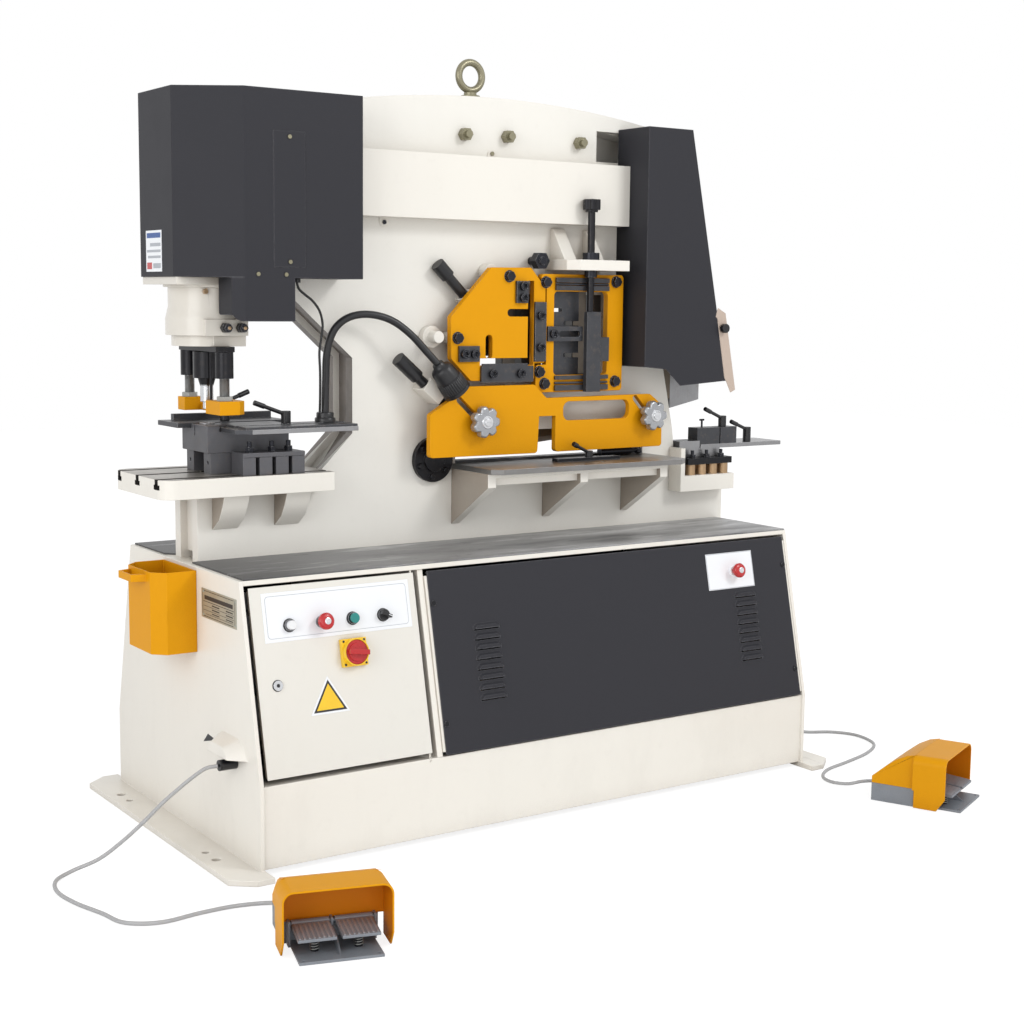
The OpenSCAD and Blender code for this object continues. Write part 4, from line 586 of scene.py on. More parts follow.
def soft_box(x: Pair, y: Pair, radius: float, inset: float = 0) -> list[Pair]:
    """Draw a rectangle with round corners.

    Args:
        x: Its reach across.
        y: Its reach up.
        radius: The corners' radius.
        inset: How far the outline moves inwards.

    Returns:
        The outline.
    """
    (left, right), (low, high) = ((part[0] + radius + inset, part[1] - radius - inset) for part in (x, y))
    outline = []
    for corner, (a, b) in enumerate(((right, high), (left, high), (left, low), (right, low))):
        for turn in (TURN / 4 * (corner + k / 6) for k in range(7)):
            outline.append((a + radius * math.cos(turn), b + radius * math.sin(turn)))
    return outline


def placed(name: str, data: bpy.types.ID) -> bpy.types.Object:
    """Put something into the scene.

    Args:
        name: The object's name.
        data: Its mesh, light or camera.

    Returns:
        The object.
    """
    thing = bpy.data.objects.new(name, data)
    bpy.context.scene.collection.objects.link(thing)
    return thing


def smooth_faces(piece: bpy.types.Object, angle: float) -> None:
    """Shade a piece smooth up to an angle in degrees."""
    piece.data.shade_smooth()
    piece.data.set_sharp_from_angle(angle=math.radians(angle))


def settle(piece: bpy.types.Object) -> None:
    """Apply modifiers.

    Args:
        piece: The piece, whose mesh is replaced.
    """
    graph = bpy.context.evaluated_depsgraph_get()
    graph.update()
    old, piece.data = piece.data, bpy.data.meshes.new_from_object(piece.evaluated_get(graph))
    piece.modifiers.clear()
    bpy.data.meshes.remove(old)


def round_edges(piece: bpy.types.Object, width: float, angle: float) -> None:
    """Round the edges of a piece.

    Args:
        piece: The piece.
        width: Width of the round in metres.
        angle: The angle in degrees past which an edge is rounded.
    """
    bevel = piece.modifiers.new("round", "BEVEL")
    bevel.width, bevel.segments, bevel.use_clamp_overlap = width, 2, False
    bevel.limit_method, bevel.angle_limit = "ANGLE", math.radians(angle)
    even = piece.modifiers.new("even", "WEIGHTED_NORMAL")
    even.mode, even.weight, even.keep_sharp = "FACE_AREA_WITH_ANGLE", 90, True
    settle(piece)


class Shape:
    """A mesh that is put together from turned, swept and flat parts."""

    def __init__(self) -> None:
        """Start an empty mesh."""
        self.bm = bmesh.new()

    def skin(self, rings: Iterable[Sequence[Vector]], closed: bool = False) -> list[bmesh.types.BMFace]:
        """Lay faces over rings of points.

        Args:
            rings: The rings, each of one point or of as many as the others.
            closed: Whether the last ring joins the first. Otherwise the first and the last get a cap.

        Returns:
            The faces between the rings.
        """
        made = [[self.bm.verts.new(point) for point in ring] for ring in rings]
        faces = []
        for low, high in zip(made, made[1:] + (made[:1] if closed else [])):
            for k in range(max(len(low), len(high))):
                places = ((low, k), (low, k + 1), (high, k + 1), (high, k))
                faces.append(self.bm.faces.new(list(dict.fromkeys(ring[n % len(ring)] for ring, n in places))))
        for end in () if closed else (made[0][::-1], made[-1]):
            if len(end) > 1:
                self.bm.faces.new(end)
        return faces

    def turned(self, profile: Sequence[Pair], frame: Matrix, outline: Sequence[Pair] = circle(48)) -> Shape:
        """Add a turned part.

        Args:
            profile: Factors of the outline and heights, from foot to top.
            frame: Where it stands.
            outline: The outline at factor 1, a circle of radius 1 unless given.

        Returns:
            The shape itself.
        """
        self.skin(
            [frame @ Vector((x * reach, y * reach, height)) for x, y in (outline if reach else [(0, 0)])]
            for reach, height in profile
        )
        return self

    def swept(self, line: Sequence[Vector], radius: float, sides: int) -> Shape:
        """Add a round tube with a lengthwise map in metres and turns.

        Args:
            line: Its middle line in metres.
            radius: Its radius in millimetres.
            sides: Facets round it.

        Returns:
            The shape itself.
        """
        layer = self.bm.loops.layers.uv.get("along") or self.bm.loops.layers.uv.new("along")
        side, rings, far = Vector((0, 0, 1)), [], [0.0]
        for before, point, after in zip([line[0], *line], line, [*line[1:], line[-1]]):
            ahead = (after - before).normalized()
            side = side - ahead * side.dot(ahead)
            side = (ahead.orthogonal() if side.length < 1e-6 else side).normalized()
            other = ahead.cross(side)
            rings.append([point + radius * MM * (side * a + other * b) for a, b in circle(sides)])
            far.append(far[-1] + (after - point).length)
        for number, face in enumerate(self.skin(rings)):
            low, k = divmod(number, sides)
            for loop, (end, turn) in zip(face.loops, ((low, k), (low, k + 1), (low + 1, k + 1), (low + 1, k))):
                loop[layer].uv = (far[end], turn / sides)
        return self

    def plate(
        self, outline: Sequence[Pair], low: float, high: float, frame: Matrix, hole: Sequence[Pair] | None = None
    ) -> Shape:
        """Add a flat plate.

        Args:
            outline: Its outline.
            low: The height of its underside.
            high: The height of its top.
            frame: Where it lies.
            hole: The outline of its hole, with as many points, or none.

        Returns:
            The shape itself.
        """
        rings = [(outline, low), (outline, high)] + ([(hole, high), (hole, low)] if hole else [])
        self.skin(([frame @ Vector((x, y, z)) for x, y in ring] for ring, z in rings), closed=bool(hole))
        return self

    def ring(self, centre: Pair, outer: float, inner: float, low: float, high: float) -> Shape:
        """Add a flat ring on the sloping front, from the inner to the outer radius."""
        return self.plate(circle(40, outer, centre), low, high, FRONT, circle(40, inner, centre))

    def done(self, name: str, material: bpy.types.Material, smooth: float, bevel: float) -> bpy.types.Object:
        """Turn the shape into an object.

        Args:
            name: The object's name.
            material: Its finish.
            smooth: The angle in degrees past which an edge stays sharp.
            bevel: Width of the rounded edges in metres, or 0.

        Returns:
            The object.
        """
        mesh = bpy.data.meshes.new(name)
        bmesh.ops.recalc_face_normals(self.bm, faces=self.bm.faces)
        self.bm.to_mesh(mesh)
        self.bm.free()
        mesh.materials.append(material)
        piece = placed(name, mesh)
        smooth_faces(piece, smooth)
        if bevel:
            round_edges(piece, bevel, smooth)
        return piece


class Copier:
    """Lays copies of small parts with one shared geometry node tree."""

    SOCKETS = (
        ("Places", "INPUT", "Geometry"), ("Part", "INPUT", "Object"), ("Size", "INPUT", "Float"),
        ("Finish", "INPUT", "Material"), ("Pieces", "OUTPUT", "Geometry"),
    )
    NODES = (
        "NodeGroupInput", "GeometryNodeMeshToPoints", "GeometryNodeObjectInfo", "GeometryNodeInputNamedAttribute",
        "GeometryNodeInstanceOnPoints", "GeometryNodeRealizeInstances", "GeometryNodeSetMaterial", "NodeGroupOutput",
    )

    def __init__(self) -> None:
        """Build the tree, with its part, size and finish as named inputs."""
        self.tree = bpy.data.node_groups.new("lay_copies", "GeometryNodeTree")
        for name, way, kind in self.SOCKETS:
            self.tree.interface.new_socket(name, in_out=way, socket_type=f"NodeSocket{kind}")
        start, points, part, turn, lay, real, dress, end = (self.tree.nodes.new(kind) for kind in self.NODES)
        turn.data_type = "FLOAT_VECTOR"
        turn.inputs["Name"].default_value = "turn"
        for giver, output, taker, entry in (
            (start, "Places", points, "Mesh"), (points, "Points", lay, "Points"), (start, "Part", part, "Object"),
            (part, "Geometry", lay, "Instance"), (turn, "Attribute", lay, "Rotation"), (start, "Size", lay, "Scale"),
            (lay, "Instances", real, "Geometry"), (real, "Geometry", dress, "Geometry"),
            (start, "Finish", dress, "Material"), (dress, "Geometry", end, "Pieces"),
        ):
            self.tree.links.new(giver.outputs[output], taker.inputs[entry])

    def lay(self, name: str, part: bpy.types.Object, places: Sequence[Vector], turn: Matrix) -> bpy.types.Object:
        """Lay copies of a part.

        Args:
            name: Name of the piece.
            part: The part, around the origin. It is used up.
            places: A point for each copy.
            turn: How the copies are turned.

        Returns:
            One plain mesh of all the copies.
        """
        mesh = bpy.data.meshes.new(name)
        mesh.from_pydata([tuple(place) for place in places], [], [])
        for item in mesh.attributes.new("turn", "FLOAT_VECTOR", "POINT").data:
            item.vector = turn.to_euler()
        piece = placed(name, mesh)
        modifier = piece.modifiers.new("copies", "NODES")
        modifier.node_group = self.tree
        values = {"Part": part, "Size": 1.0, "Finish": part.data.materials[0]}
        for item in self.tree.interface.items_tree:
            if item.name in values:
                modifier[item.identifier] = values[item.name]
        settle(piece)
        if "turn" in piece.data.attributes:
            piece.data.attributes.remove(piece.data.attributes["turn"])
        bpy.data.objects.remove(part)
        smooth_faces(piece, SHARP)
        return piece


# ---- the machine's own solids ----


@dataclass
class Group:
    """What every group of pieces has: the frame, the finishes, the copier, and ways to mount pieces."""

    frame: dict
    paint: Paintbox
    copier: Copier

    def mount(self, piece: bpy.types.Object, node: str, *stands_for: str) -> None:
        """Let a piece ride with a node.

        Args:
            piece: The piece.
            node: The node on whose body it rides.
            stands_for: The nodes that it replaces.
        """
        bodies = self.frame["record"]["behaviour"]["bodies"]
        body = next(body for body, nodes in bodies.items() if node in nodes)
        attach(piece, body)
        if stands_for:
            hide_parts(*stands_for)
        LOG.info("%s on %s: %d faces", piece.name, body, len(piece.data.polygons))

    def add(
        self, shape: Shape, name: str, kit: Kit, node: str, *stands_for: str, smooth: float = SHARP, bevel: float = 0
    ) -> bpy.types.Object:
        """Make a piece of a shape and let it ride with a node.

        Args:
            shape: The shape. It is used up.
            name: The piece's name.
            kit: Its finish.
            node: The node on whose body it rides.
            stands_for: The nodes that it replaces.
            smooth: The angle in degrees past which an edge stays sharp.
            bevel: Width of the rounded edges in metres, or 0.

        Returns:
            The piece.
        """
        piece = shape.done(name, self.paint[kit], smooth, bevel)
        self.mount(piece, node, *stands_for)
        return piece

    def dress(self, *solids: Solid) -> None:
        """Dress solids in turn."""
        for solid in solids:
            self.mount(solid.built(self), solid.node, solid.node)


@dataclass
class Solid:
    """One of the frame's solids with rounded edges and its own finishes."""

    node: str
    finish: Kit
    edge: float = 0.001
    faces: tuple[tuple[Rule, Kit], ...] = ()
    parts: tuple[tuple[Rule, Kit], ...] = ()
    angle: float = 32

    def built(self, group: Group) -> bpy.types.Object:
        """Copy the solid, merge it, dress its parts and faces and round its edges.

        Args:
            group: The group that gives the frame and the finishes.

        Returns:
            The piece.
        """
        bm = bmesh.new()
        bm.from_mesh(group.frame["nodes"][self.node].data)
        for layer in [*bm.loops.layers.uv.values()]:
            bm.loops.layers.uv.remove(layer)
        bmesh.ops.remove_doubles(bm, verts=bm.verts, dist=1e-5)
        if self.edge:
            bmesh.ops.dissolve_limit(
                bm, angle_limit=math.radians(0.6), verts=bm.verts, edges=bm.edges, use_dissolve_boundaries=False
            )
        mesh, kits = bpy.data.meshes.new(f"{self.node}_finished"), self.coloured(bm)
        bm.to_mesh(mesh)
        bm.free()
        for kit in kits:
            mesh.materials.append(group.paint[kit])
        for name in [attribute.name for attribute in mesh.attributes if "normal" in attribute.name]:
            mesh.attributes.remove(mesh.attributes[name])
        piece = placed(mesh.name, mesh)
        smooth_faces(piece, self.angle)
        if self.edge:
            round_edges(piece, self.edge, self.angle)
        return piece

    def coloured(self, bm: bmesh.types.BMesh) -> list[Kit]:
        """Give each face its finish.

        Args:
            bm: The merged mesh.

        Returns:
            The finishes in the order of their material slots.
        """
        kits = [self.finish]
        for group in self.groups(bm):
            reach = zip(*(vert.co for face in group for vert in face.verts))
            middle = Vector([(min(part) + max(part)) / 2 for part in reach])
            kit = next((kit for rule, kit in self.parts if rule(middle, middle)), self.finish)
            for face in group:
                own = next((own for rule, own in self.faces if rule(face.calc_center_median(), face.normal)), kit)
                if own not in kits:
                    kits.append(own)
                face.material_index = kits.index(own)
        return kits

    @staticmethod
    def groups(bm: bmesh.types.BMesh) -> Iterator[list[bmesh.types.BMFace]]:
        """Split a mesh into its separate solids.

        Args:
            bm: The merged mesh.

        Returns:
            The faces of each solid.
        """
        seen: set[bmesh.types.BMFace] = set()
        for first in bm.faces:
            if first in seen:
                continue
            seen.add(first)
            group, queue = [], [first]
            while queue:
                face = queue.pop()
                group.append(face)
                for other in (other for edge in face.edges for other in edge.link_faces):
                    if other not in seen:
                        seen.add(other)
                        queue.append(other)
            yield group


def in_box(
    x: Pair = ANY, y: Pair = ANY, z: Pair = ANY, up: bool = False, along: bool = False, frame: Matrix = at((0, 0, 0))
) -> Rule:
    """Return a rule for faces, or solids, whose middle lies in a box.

    Args:
        x: The box's reach along the frame's first axis.
        y: Its reach along the second.
        z: Its reach along the third.
        up: Whether the face has to look up.
        along: Whether the face has to run along X.
        frame: The box's frame, the shared one in millimetres unless given.

    Returns:
        The rule.
    """
    back = frame.inverted()

    def rule(middle: Vector, normal: Vector) -> bool:
        """Tell whether a face fits."""
        inside = all(low <= part <= high for part, (low, high) in zip(back @ middle, (x, y, z)))
        return inside and (not up or normal.z > 0.9) and (not along or abs(normal.x) < 0.5)

    return rule


def on_front(centre: Pair, reach: float, out: Pair) -> Rule:
    """Return a rule for faces round a centre on the sloping front, within a reach and between two heights."""
    x, y = ((part - reach, part + reach) for part in centre)
    return in_box(x, y, out, frame=FRONT)


# ---- cords ----


@dataclass
class Cord(Group):
    """A cord along the same route as its solid."""

    node: str
    route: tuple[Point, ...]
    width: float
    kit: Kit
    lay: str
    play: float = 0.8

    def build(self) -> None:
        """Lay the cord along its route."""
        line = curve_through(self.route, 6)
        shape = Shape().swept(line, (self.width - self.play) / 2, 14)
        self.add(shape, f"{self.node}_sheathed", self.kit, self.node, self.node, smooth=60)
        tuple(line[0])
        sum((b - a).length for a, b in zip(line, line[1:]))
        self.width * MM
        [tuple(point) for point in line]


LEFT_CORD = (
    (-896, -305, 239), (-930, -291, 229), (-1001, -261, 168), (-1050, -240, 116), (-1095, -221, 72),
    (-1145, -200, 32), (-1203, -180, 8), (-1252, -215, 5), (-1272, -285, 5), (-1262, -370, 5), (-1235, -460, 5),
    (-1215, -535, 5), (-1150, -575, 5), (-1060, -570, 5), (-985, -572, 5), (-925, -588, 5), (-880, -620, 8),
    (-848, -662, 18), (-847, -702, 22), (-856, -733, 22),
)
RIGHT_CORD = (
    (880, -120, 120), (925, -122, 112), (985, -135, 66), (1040, -150, 24), (1105, -180, 7), (1180, -220, 5),
    (1218, -290, 5), (1190, -385, 5), (1100, -445, 5), (980, -482, 5), (876, -508, 5), (812, -552, 5), (797, -602, 5),
    (815, -645, 8), (843, -668, 16), (861, -698, 22), (875, -729, 22),
)
LAMP_LEAD = (
    (-591, -120, 1357), (-590, -120, 1345), (-583, -118, 1333), (-566, -114, 1321), (-543, -109, 1306),
    (-520, -101, 1282), (-508, -94, 1250), (-509, -90, 1220), (-514, -88, 1180), (-510, -84, 1130), (-505, -74, 1074),
    (-501, -64, 1030.5),
)


# ---- dressing of the main groups ----


@dataclass
class Cabinet(Group):
    """Base, door, panels, mats and the things on them, with places on the sloping front."""

    control: tuple[Pair, Pair] = ((-791, -415), (333, 432))
    buttons: tuple[Pair, ...] = ((-734, 361), (-651, 361), (-568, 361), (-485, 361))
    lock: Pair = (-779, 226)
    isolator: Pair = (-577, 281)
    screws: float = 27.5
    stop_plate: tuple[Pair, Pair] = ((541, 707), (326, 424))
    stop: Pair = (634, 372)
    nameplate: tuple[Pair, Pair] = ((-311, -131), (560, 622))

    def build(self) -> None:
        """Dress the base."""
        collars = ((on_front(button, 16, (-1.9, 8.5)), Kit.COLLAR) for button in self.buttons)
        lens = (on_front(self.buttons[0], 11, (15.5, 16.5)), Kit.LENS)
        yellow = (in_box((-704, -540), (240, 316), (-2.9, 10), frame=FRONT), Kit.SIGNAL)
        whites = ((in_box((-900, -880), z=(1300, 1500)), Kit.WHITE), (in_box((500, 760), z=(480, 680)), Kit.WHITE))
        self.dress(
            Solid("base_cabinet", Kit.CREAM, 0.0015),
            Solid("top_mats", Kit.MAT),
            Solid("service_panels", Kit.CHARCOAL, 0.0006),
            Solid("cabinet_door", Kit.DOOR_CREAM),
            Solid("control_gear", Kit.GEAR),
            Solid("scrap_bin", Kit.ORANGE),
            Solid("door_plates", Kit.WHITE, 0.0003, (lens, *collars, yellow)),
            Solid("isolator_handle", Kit.RED),
            Solid("door_lock", Kit.CHROME, 0.0004, ((on_front(self.lock, 5, (-2.5, 0.9)), Kit.INK),)),
            Solid("stop_button_a", Kit.RED, 0.0008),
            Solid("stop_button_b", Kit.RED, 0.0008),
            Solid("start_button", Kit.GREEN, 0.0008),
            Solid("mode_selector", Kit.BLACK, 0.0008),
            Solid("blank_plates", Kit.PLATE, 0.0003, parts=whites),
            Solid("cable_glands", Kit.BLACK, 0.0008),
        )
        self.door_trim()
        self.button_trim()
        self.side_plate()

    def door_trim(self) -> None:
        """Add the plates' thin lines, the rings round buttons, lock and isolator, and the isolator's screws."""
        border = Shape().plate(soft_box(*self.control, 9), -2.02, -1.9, FRONT, soft_box(*self.control, 8, 1.2))
        self.add(border, "control_border", Kit.GREY_INK, "door_plates")
        border = Shape().plate(soft_box(*self.stop_plate, 3), 1.6, 1.8, FRONT, soft_box(*self.stop_plate, 2, 1.4))
        self.add(border, "stop_plate_border", Kit.GREY_INK, "blank_plates")
        rim = Shape().plate(
            [(-694.8, 150.8), (-607.2, 150.8), (-651, 225.0)], -2.22, -2.05, FRONT,
            [(-686.6, 155.6), (-615.4, 155.6), (-651, 216.0)],
        )
        rim.ring(self.lock, 13.6, 11.9, -3.1, -2.5)
        for number in (0, 2, 3):
            rim.ring(self.buttons[number], 16.2, 14.4, -2.1, -1.5)
        self.add(rim, "triangle_rim", Kit.INK, "door_plates")
        field = Shape().plate([(-687.2, 155.2), (-614.8, 155.2), (-651, 216.8)], -2.22, -2.12, FRONT)
        self.add(field.ring(self.isolator, 32.4, 29.7, 8.9, 20.6), "yellow_field", Kit.SIGNAL, "door_plates")
        screws = Shape()
        for x, u in product(*((part - self.screws, part + self.screws) for part in self.isolator)):
            screws.turned(((3, 0), (3, 0.6), (2, 1.0), (0, 1.0)), FRONT @ Matrix.Translation((x, u, 9)), circle(20))
        self.add(screws, "isolator_screws", Kit.BLACK_OXIDE, "door_plates")

    def button_trim(self) -> None:
        """Add the bright centres of the mushroom buttons and the white line of the selector."""
        for node, place, top in (("stop_button_a", self.buttons[1], 33), ("stop_button_b", self.stop, 37.5)):
            centre = Shape().turned(
                ((8.2, -0.4), (8.2, 0.5), (7.2, 1.1), (4.6, 1.1), (4.2, 0.5), (0, 0.5)),
                FRONT @ Matrix.Translation((*place, top)), circle(40),
            )
            self.add(centre, f"{node}_centre", Kit.CHROME, node)
        turn = Matrix.Translation((*self.buttons[3], 25)) @ Matrix.Rotation(math.radians(-25), 4, "Z")
        mark = Shape().plate(box((2, 13), (-0.9, 0.9)), -0.2, 0.15, FRONT @ turn)
        self.add(mark, "selector_mark", Kit.WHITE, "mode_selector")

    def side_plate(self) -> None:
        """Add blank rules and a border to the nameplate, an arrow, and plain bands to the cover's plate."""
        skin = (-851.62, -851.48, SIDE)
        rules = Shape().plate(soft_box(*self.nameplate, 5), *skin, soft_box(*self.nameplate, 4, 1.4))
        for reach in (
            ((-300, -142), (601, 611)), ((-306, -136), (595.5, 597)), ((-306, -136), (585, 586)),
            ((-306, -136), (575, 576)), ((-300, -150), (566, 567)),
        ):
            rules.plate(box(*reach), *skin)
        for reach in product(((-300, -262), (-226, -184)), ((589, 592), (579, 582), (569.5, 572))):
            rules.plate(box(*reach), -851.6, *skin[1:])
        self.add(rules, "nameplate_rules", Kit.INK, "blank_plates")
        arrow = Shape().plate([(-148, 273), (-121, 248), (-196, 268)], -850.15, -849.98, SIDE)
        self.add(arrow, "side_arrow", Kit.INK, "base_cabinet")
        for colour, kit, bands in (
            ("blue", Kit.BLUE_INK, (((6, 90), (1452, 1464)),)),
            (
                "grey", Kit.GREY_INK,
                (((6, 70), (1432, 1440)), ((6, 90), (1418, 1424)), ((6, 84), (1404, 1410)), ((6, 52), (1380, 1392))),
            ),
            ("red", Kit.RED, (((60, 90), (1378, 1394)),)),
        ):
            band = Shape()
            for reach in bands:
                band.plate(box(*reach), -887.15, -886.95, SIDE)
            self.add(band, f"cover_plate_{colour}", kit, "blank_plates")


@dataclass
class Body(Group):
    """Twin-plate frame, covers, brackets and fasteners."""

    punch_screws: Pair = (-780, -690)
    cover: Pair = (-890, -440)
    cover_edge: float = 0.0012

    @staticmethod
    def throat(middle: Vector, normal: Vector) -> bool:
        """Tell whether a face is one of the flame-cut edges of the punching throat."""
        return -0.60 < middle.x < -0.20 and 0.885 < middle.z < 1.47 and abs(normal.y) < 0.3

    @staticmethod
    def shaded(middle: Vector, normal: Vector) -> bool:
        """Tell whether a face is the left flank of a bracket under a table, which gets painted shade."""
        return normal.x < -0.6 and middle.z < 0.88 and middle.y < -0.045

    def build(self) -> None:
        """Dress the frame."""
        bolts = (
            (in_box(self.punch_screws, (-130, -50), (1060, 1080)), Kit.ZINC),
            (in_box(self.punch_screws, (-40, 140), (1060, 1080)), Kit.ZINC),
            (in_box(self.cover, (-190, -100), (1300, 1800)), Kit.AGED_ZINC),
            (in_box((-350, 830), (-500, -250), (180, 640)), Kit.BLACK_OXIDE),
            (in_box((-400, 500), (-200, 120), (1660, 1900)), Kit.AGED_ZINC),
        )
        strips = (
            (in_box((715, 745), (-195, -177.9), (1225, 1255)), Kit.BLACK),
            (in_box((700, 792), (-180, -171.9), (1050, 1300)), Kit.STRIP_CREAM),
        )
        self.dress(
            Solid("frame", Kit.FRAME_CREAM, 0, ((self.throat, Kit.THROAT),)),
            Solid("frame_brackets", Kit.CREAM, 0.0015, ((self.shaded, Kit.SHADED_CREAM),)),
            Solid("name_cover", Kit.CREAM, 0),
            Solid("fasteners", Kit.BOLT_BLACK, 0.0004, parts=bolts),
            Solid("eye_bolt", Kit.AGED_ZINC),
            Solid("pivot_pin", Kit.BLACK_OXIDE),
            Solid("punch_cover", Kit.CHARCOAL, self.cover_edge),
            Solid("notcher_cover", Kit.CHARCOAL, self.cover_edge, strips),
        )


@dataclass
class PunchStation(Group):
    """Ram housing, stripper, bolster, gauges and their levers."""

    slots: Point = (-84, 34, 152)
    fittings: Pair = (-757, -716)

    def build(self) -> None:
        """Dress the punch station."""
        slots = ((in_box(y=(y - 21, y + 21), z=(860.5, 884.6), along=True), Kit.SLOT_BLACK) for y in self.slots)
        gauges = (
            (in_box(z=(987, 1000), up=True), Kit.TABLE_STEEL), (in_box(y=(-150, -140), z=(987, 1000)), Kit.BLADE_STEEL)
        )
        self.dress(
            Solid("punch_housing", Kit.HOUSING, 0.0006, ((in_box((-807, -793), (-59, -50), (1319, 1333)), Kit.BRASS),)),
            Solid("stripper_holder", Kit.BLACK_OXIDE, faces=((in_box(z=(1031, 1118)), Kit.THREAD),)),
            Solid("stripper_yoke", Kit.ORANGE),
            Solid("punch_ram", Kit.CHROME, faces=((in_box(z=(1098, 1182)), Kit.BLACK_OXIDE),)),
            Solid("punch_table", Kit.CREAM, faces=(*slots, (in_box(z=(884.9, 886), up=True), Kit.WORN_TOP))),
            Solid("die_bolster", Kit.BOLSTER_STEEL),
            Solid("punch_die", Kit.BLADE_STEEL, 0.0006),
            Solid("gauge_plates", Kit.DARK_STEEL, 0.0006, gauges),
            Solid("gauge_lever_a", Kit.BLACK),
            Solid("gauge_lever_b", Kit.BLACK),
        )
        centres = Shape()
        for x in self.fittings:
            centres.turned(((4.4, 0), (4.4, 1.2), (3, 1.8), (0, 1.8)), at((x, -94, 1240), 90), circle(24))
        self.add(centres, "fitting_centres", Kit.BRASS, "punch_housing")


@dataclass
class ShearStation(Group):
    """Yellow plates, blades, beam, hold-down, star knobs and the flat shear's guard."""

    knobs: tuple[Point, ...] = ((-57, -116.3, 996), (510, -116.3, 996))
    lobes: int = 7
    reach: float = 42
    hollow: float = 9.5

    def build(self) -> None:
        """Dress the shear stations."""
        seat = (in_box((172, 388), (-153, -125), (880.5, 890)), Kit.BLACK_OXIDE)
        self.dress(
            Solid("shear_plates", Kit.ORANGE),
            Solid("fixed_blades", Kit.DARK_STEEL, 0.0008),
            Solid("shear_beam", Kit.BEAM_STEEL),
            Solid("moving_blades", Kit.BLADE_STEEL, 0.0006),
            Solid("holddown_bar", Kit.DARK_STEEL),
            Solid("holddown_screw", Kit.BLACK_OXIDE),
            Solid("angle_screw", Kit.BLACK),
            Solid("plate_screw", Kit.BLACK),
            Solid("flat_guard", Kit.ORANGE),
            Solid("shear_table", Kit.TABLE_STEEL, faces=(seat,)),
            Solid("fence_lever", Kit.BLACK),
        )
        for letter, foot in zip("ab", self.knobs):
            self.knob(f"star_knob_{letter}", at(foot, 90))

    def knob(self, node: str, frame: Matrix) -> None:
        """Replace a star knob by one with round lobes, a neck and a domed centre.

        Args:
            node: The knob's node.
            frame: Where it stands.
        """
        grip = ((0.84, 13.5), (0.95, 15.5), (1, 18.5), (1, 32), (0.97, 35.5), (0.91, 38), (0.8, 39.7))
        dome = (
            (17, 39), (17, 40.6), (16, 41.6), (13, 42), (12, 41.2), (10.5, 41.2), (9.5, 43), (5, 44.4), (0, 44.7)
        )
        shape = Shape().turned(((18, 0), (18, 14)), frame)
        shape.turned(grip, frame, star(self.lobes, self.reach, self.hollow))
        self.add(shape, f"{node}_round", Kit.STAR_ALLOY, node, node, smooth=42, bevel=0.0004)
        self.add(Shape().turned(dome, frame), f"{node}_cap", Kit.CHROME, node, smooth=30)


@dataclass
class NotchStation(Group):
    """Notching table, die and levers."""

    table: float = 860

    def build(self) -> None:
        """Dress the notching station."""
        layers = (
            (in_box((690, self.table), (-88, 160), (811.2, 841.9)), Kit.BRASS),
            (in_box((689, self.table), z=(841.5, 862)), Kit.BLACK_OXIDE),
        )
        self.dress(
            Solid("notcher_table", Kit.CREAM, faces=layers),
            Solid("notch_die", Kit.DARK_STEEL, faces=((in_box((756, 1081), z=(884, 897.5)), Kit.BLADE_STEEL),)),
            Solid("notch_lever_a", Kit.BLACK),
            Solid("notch_lever_b", Kit.BLACK),
        )


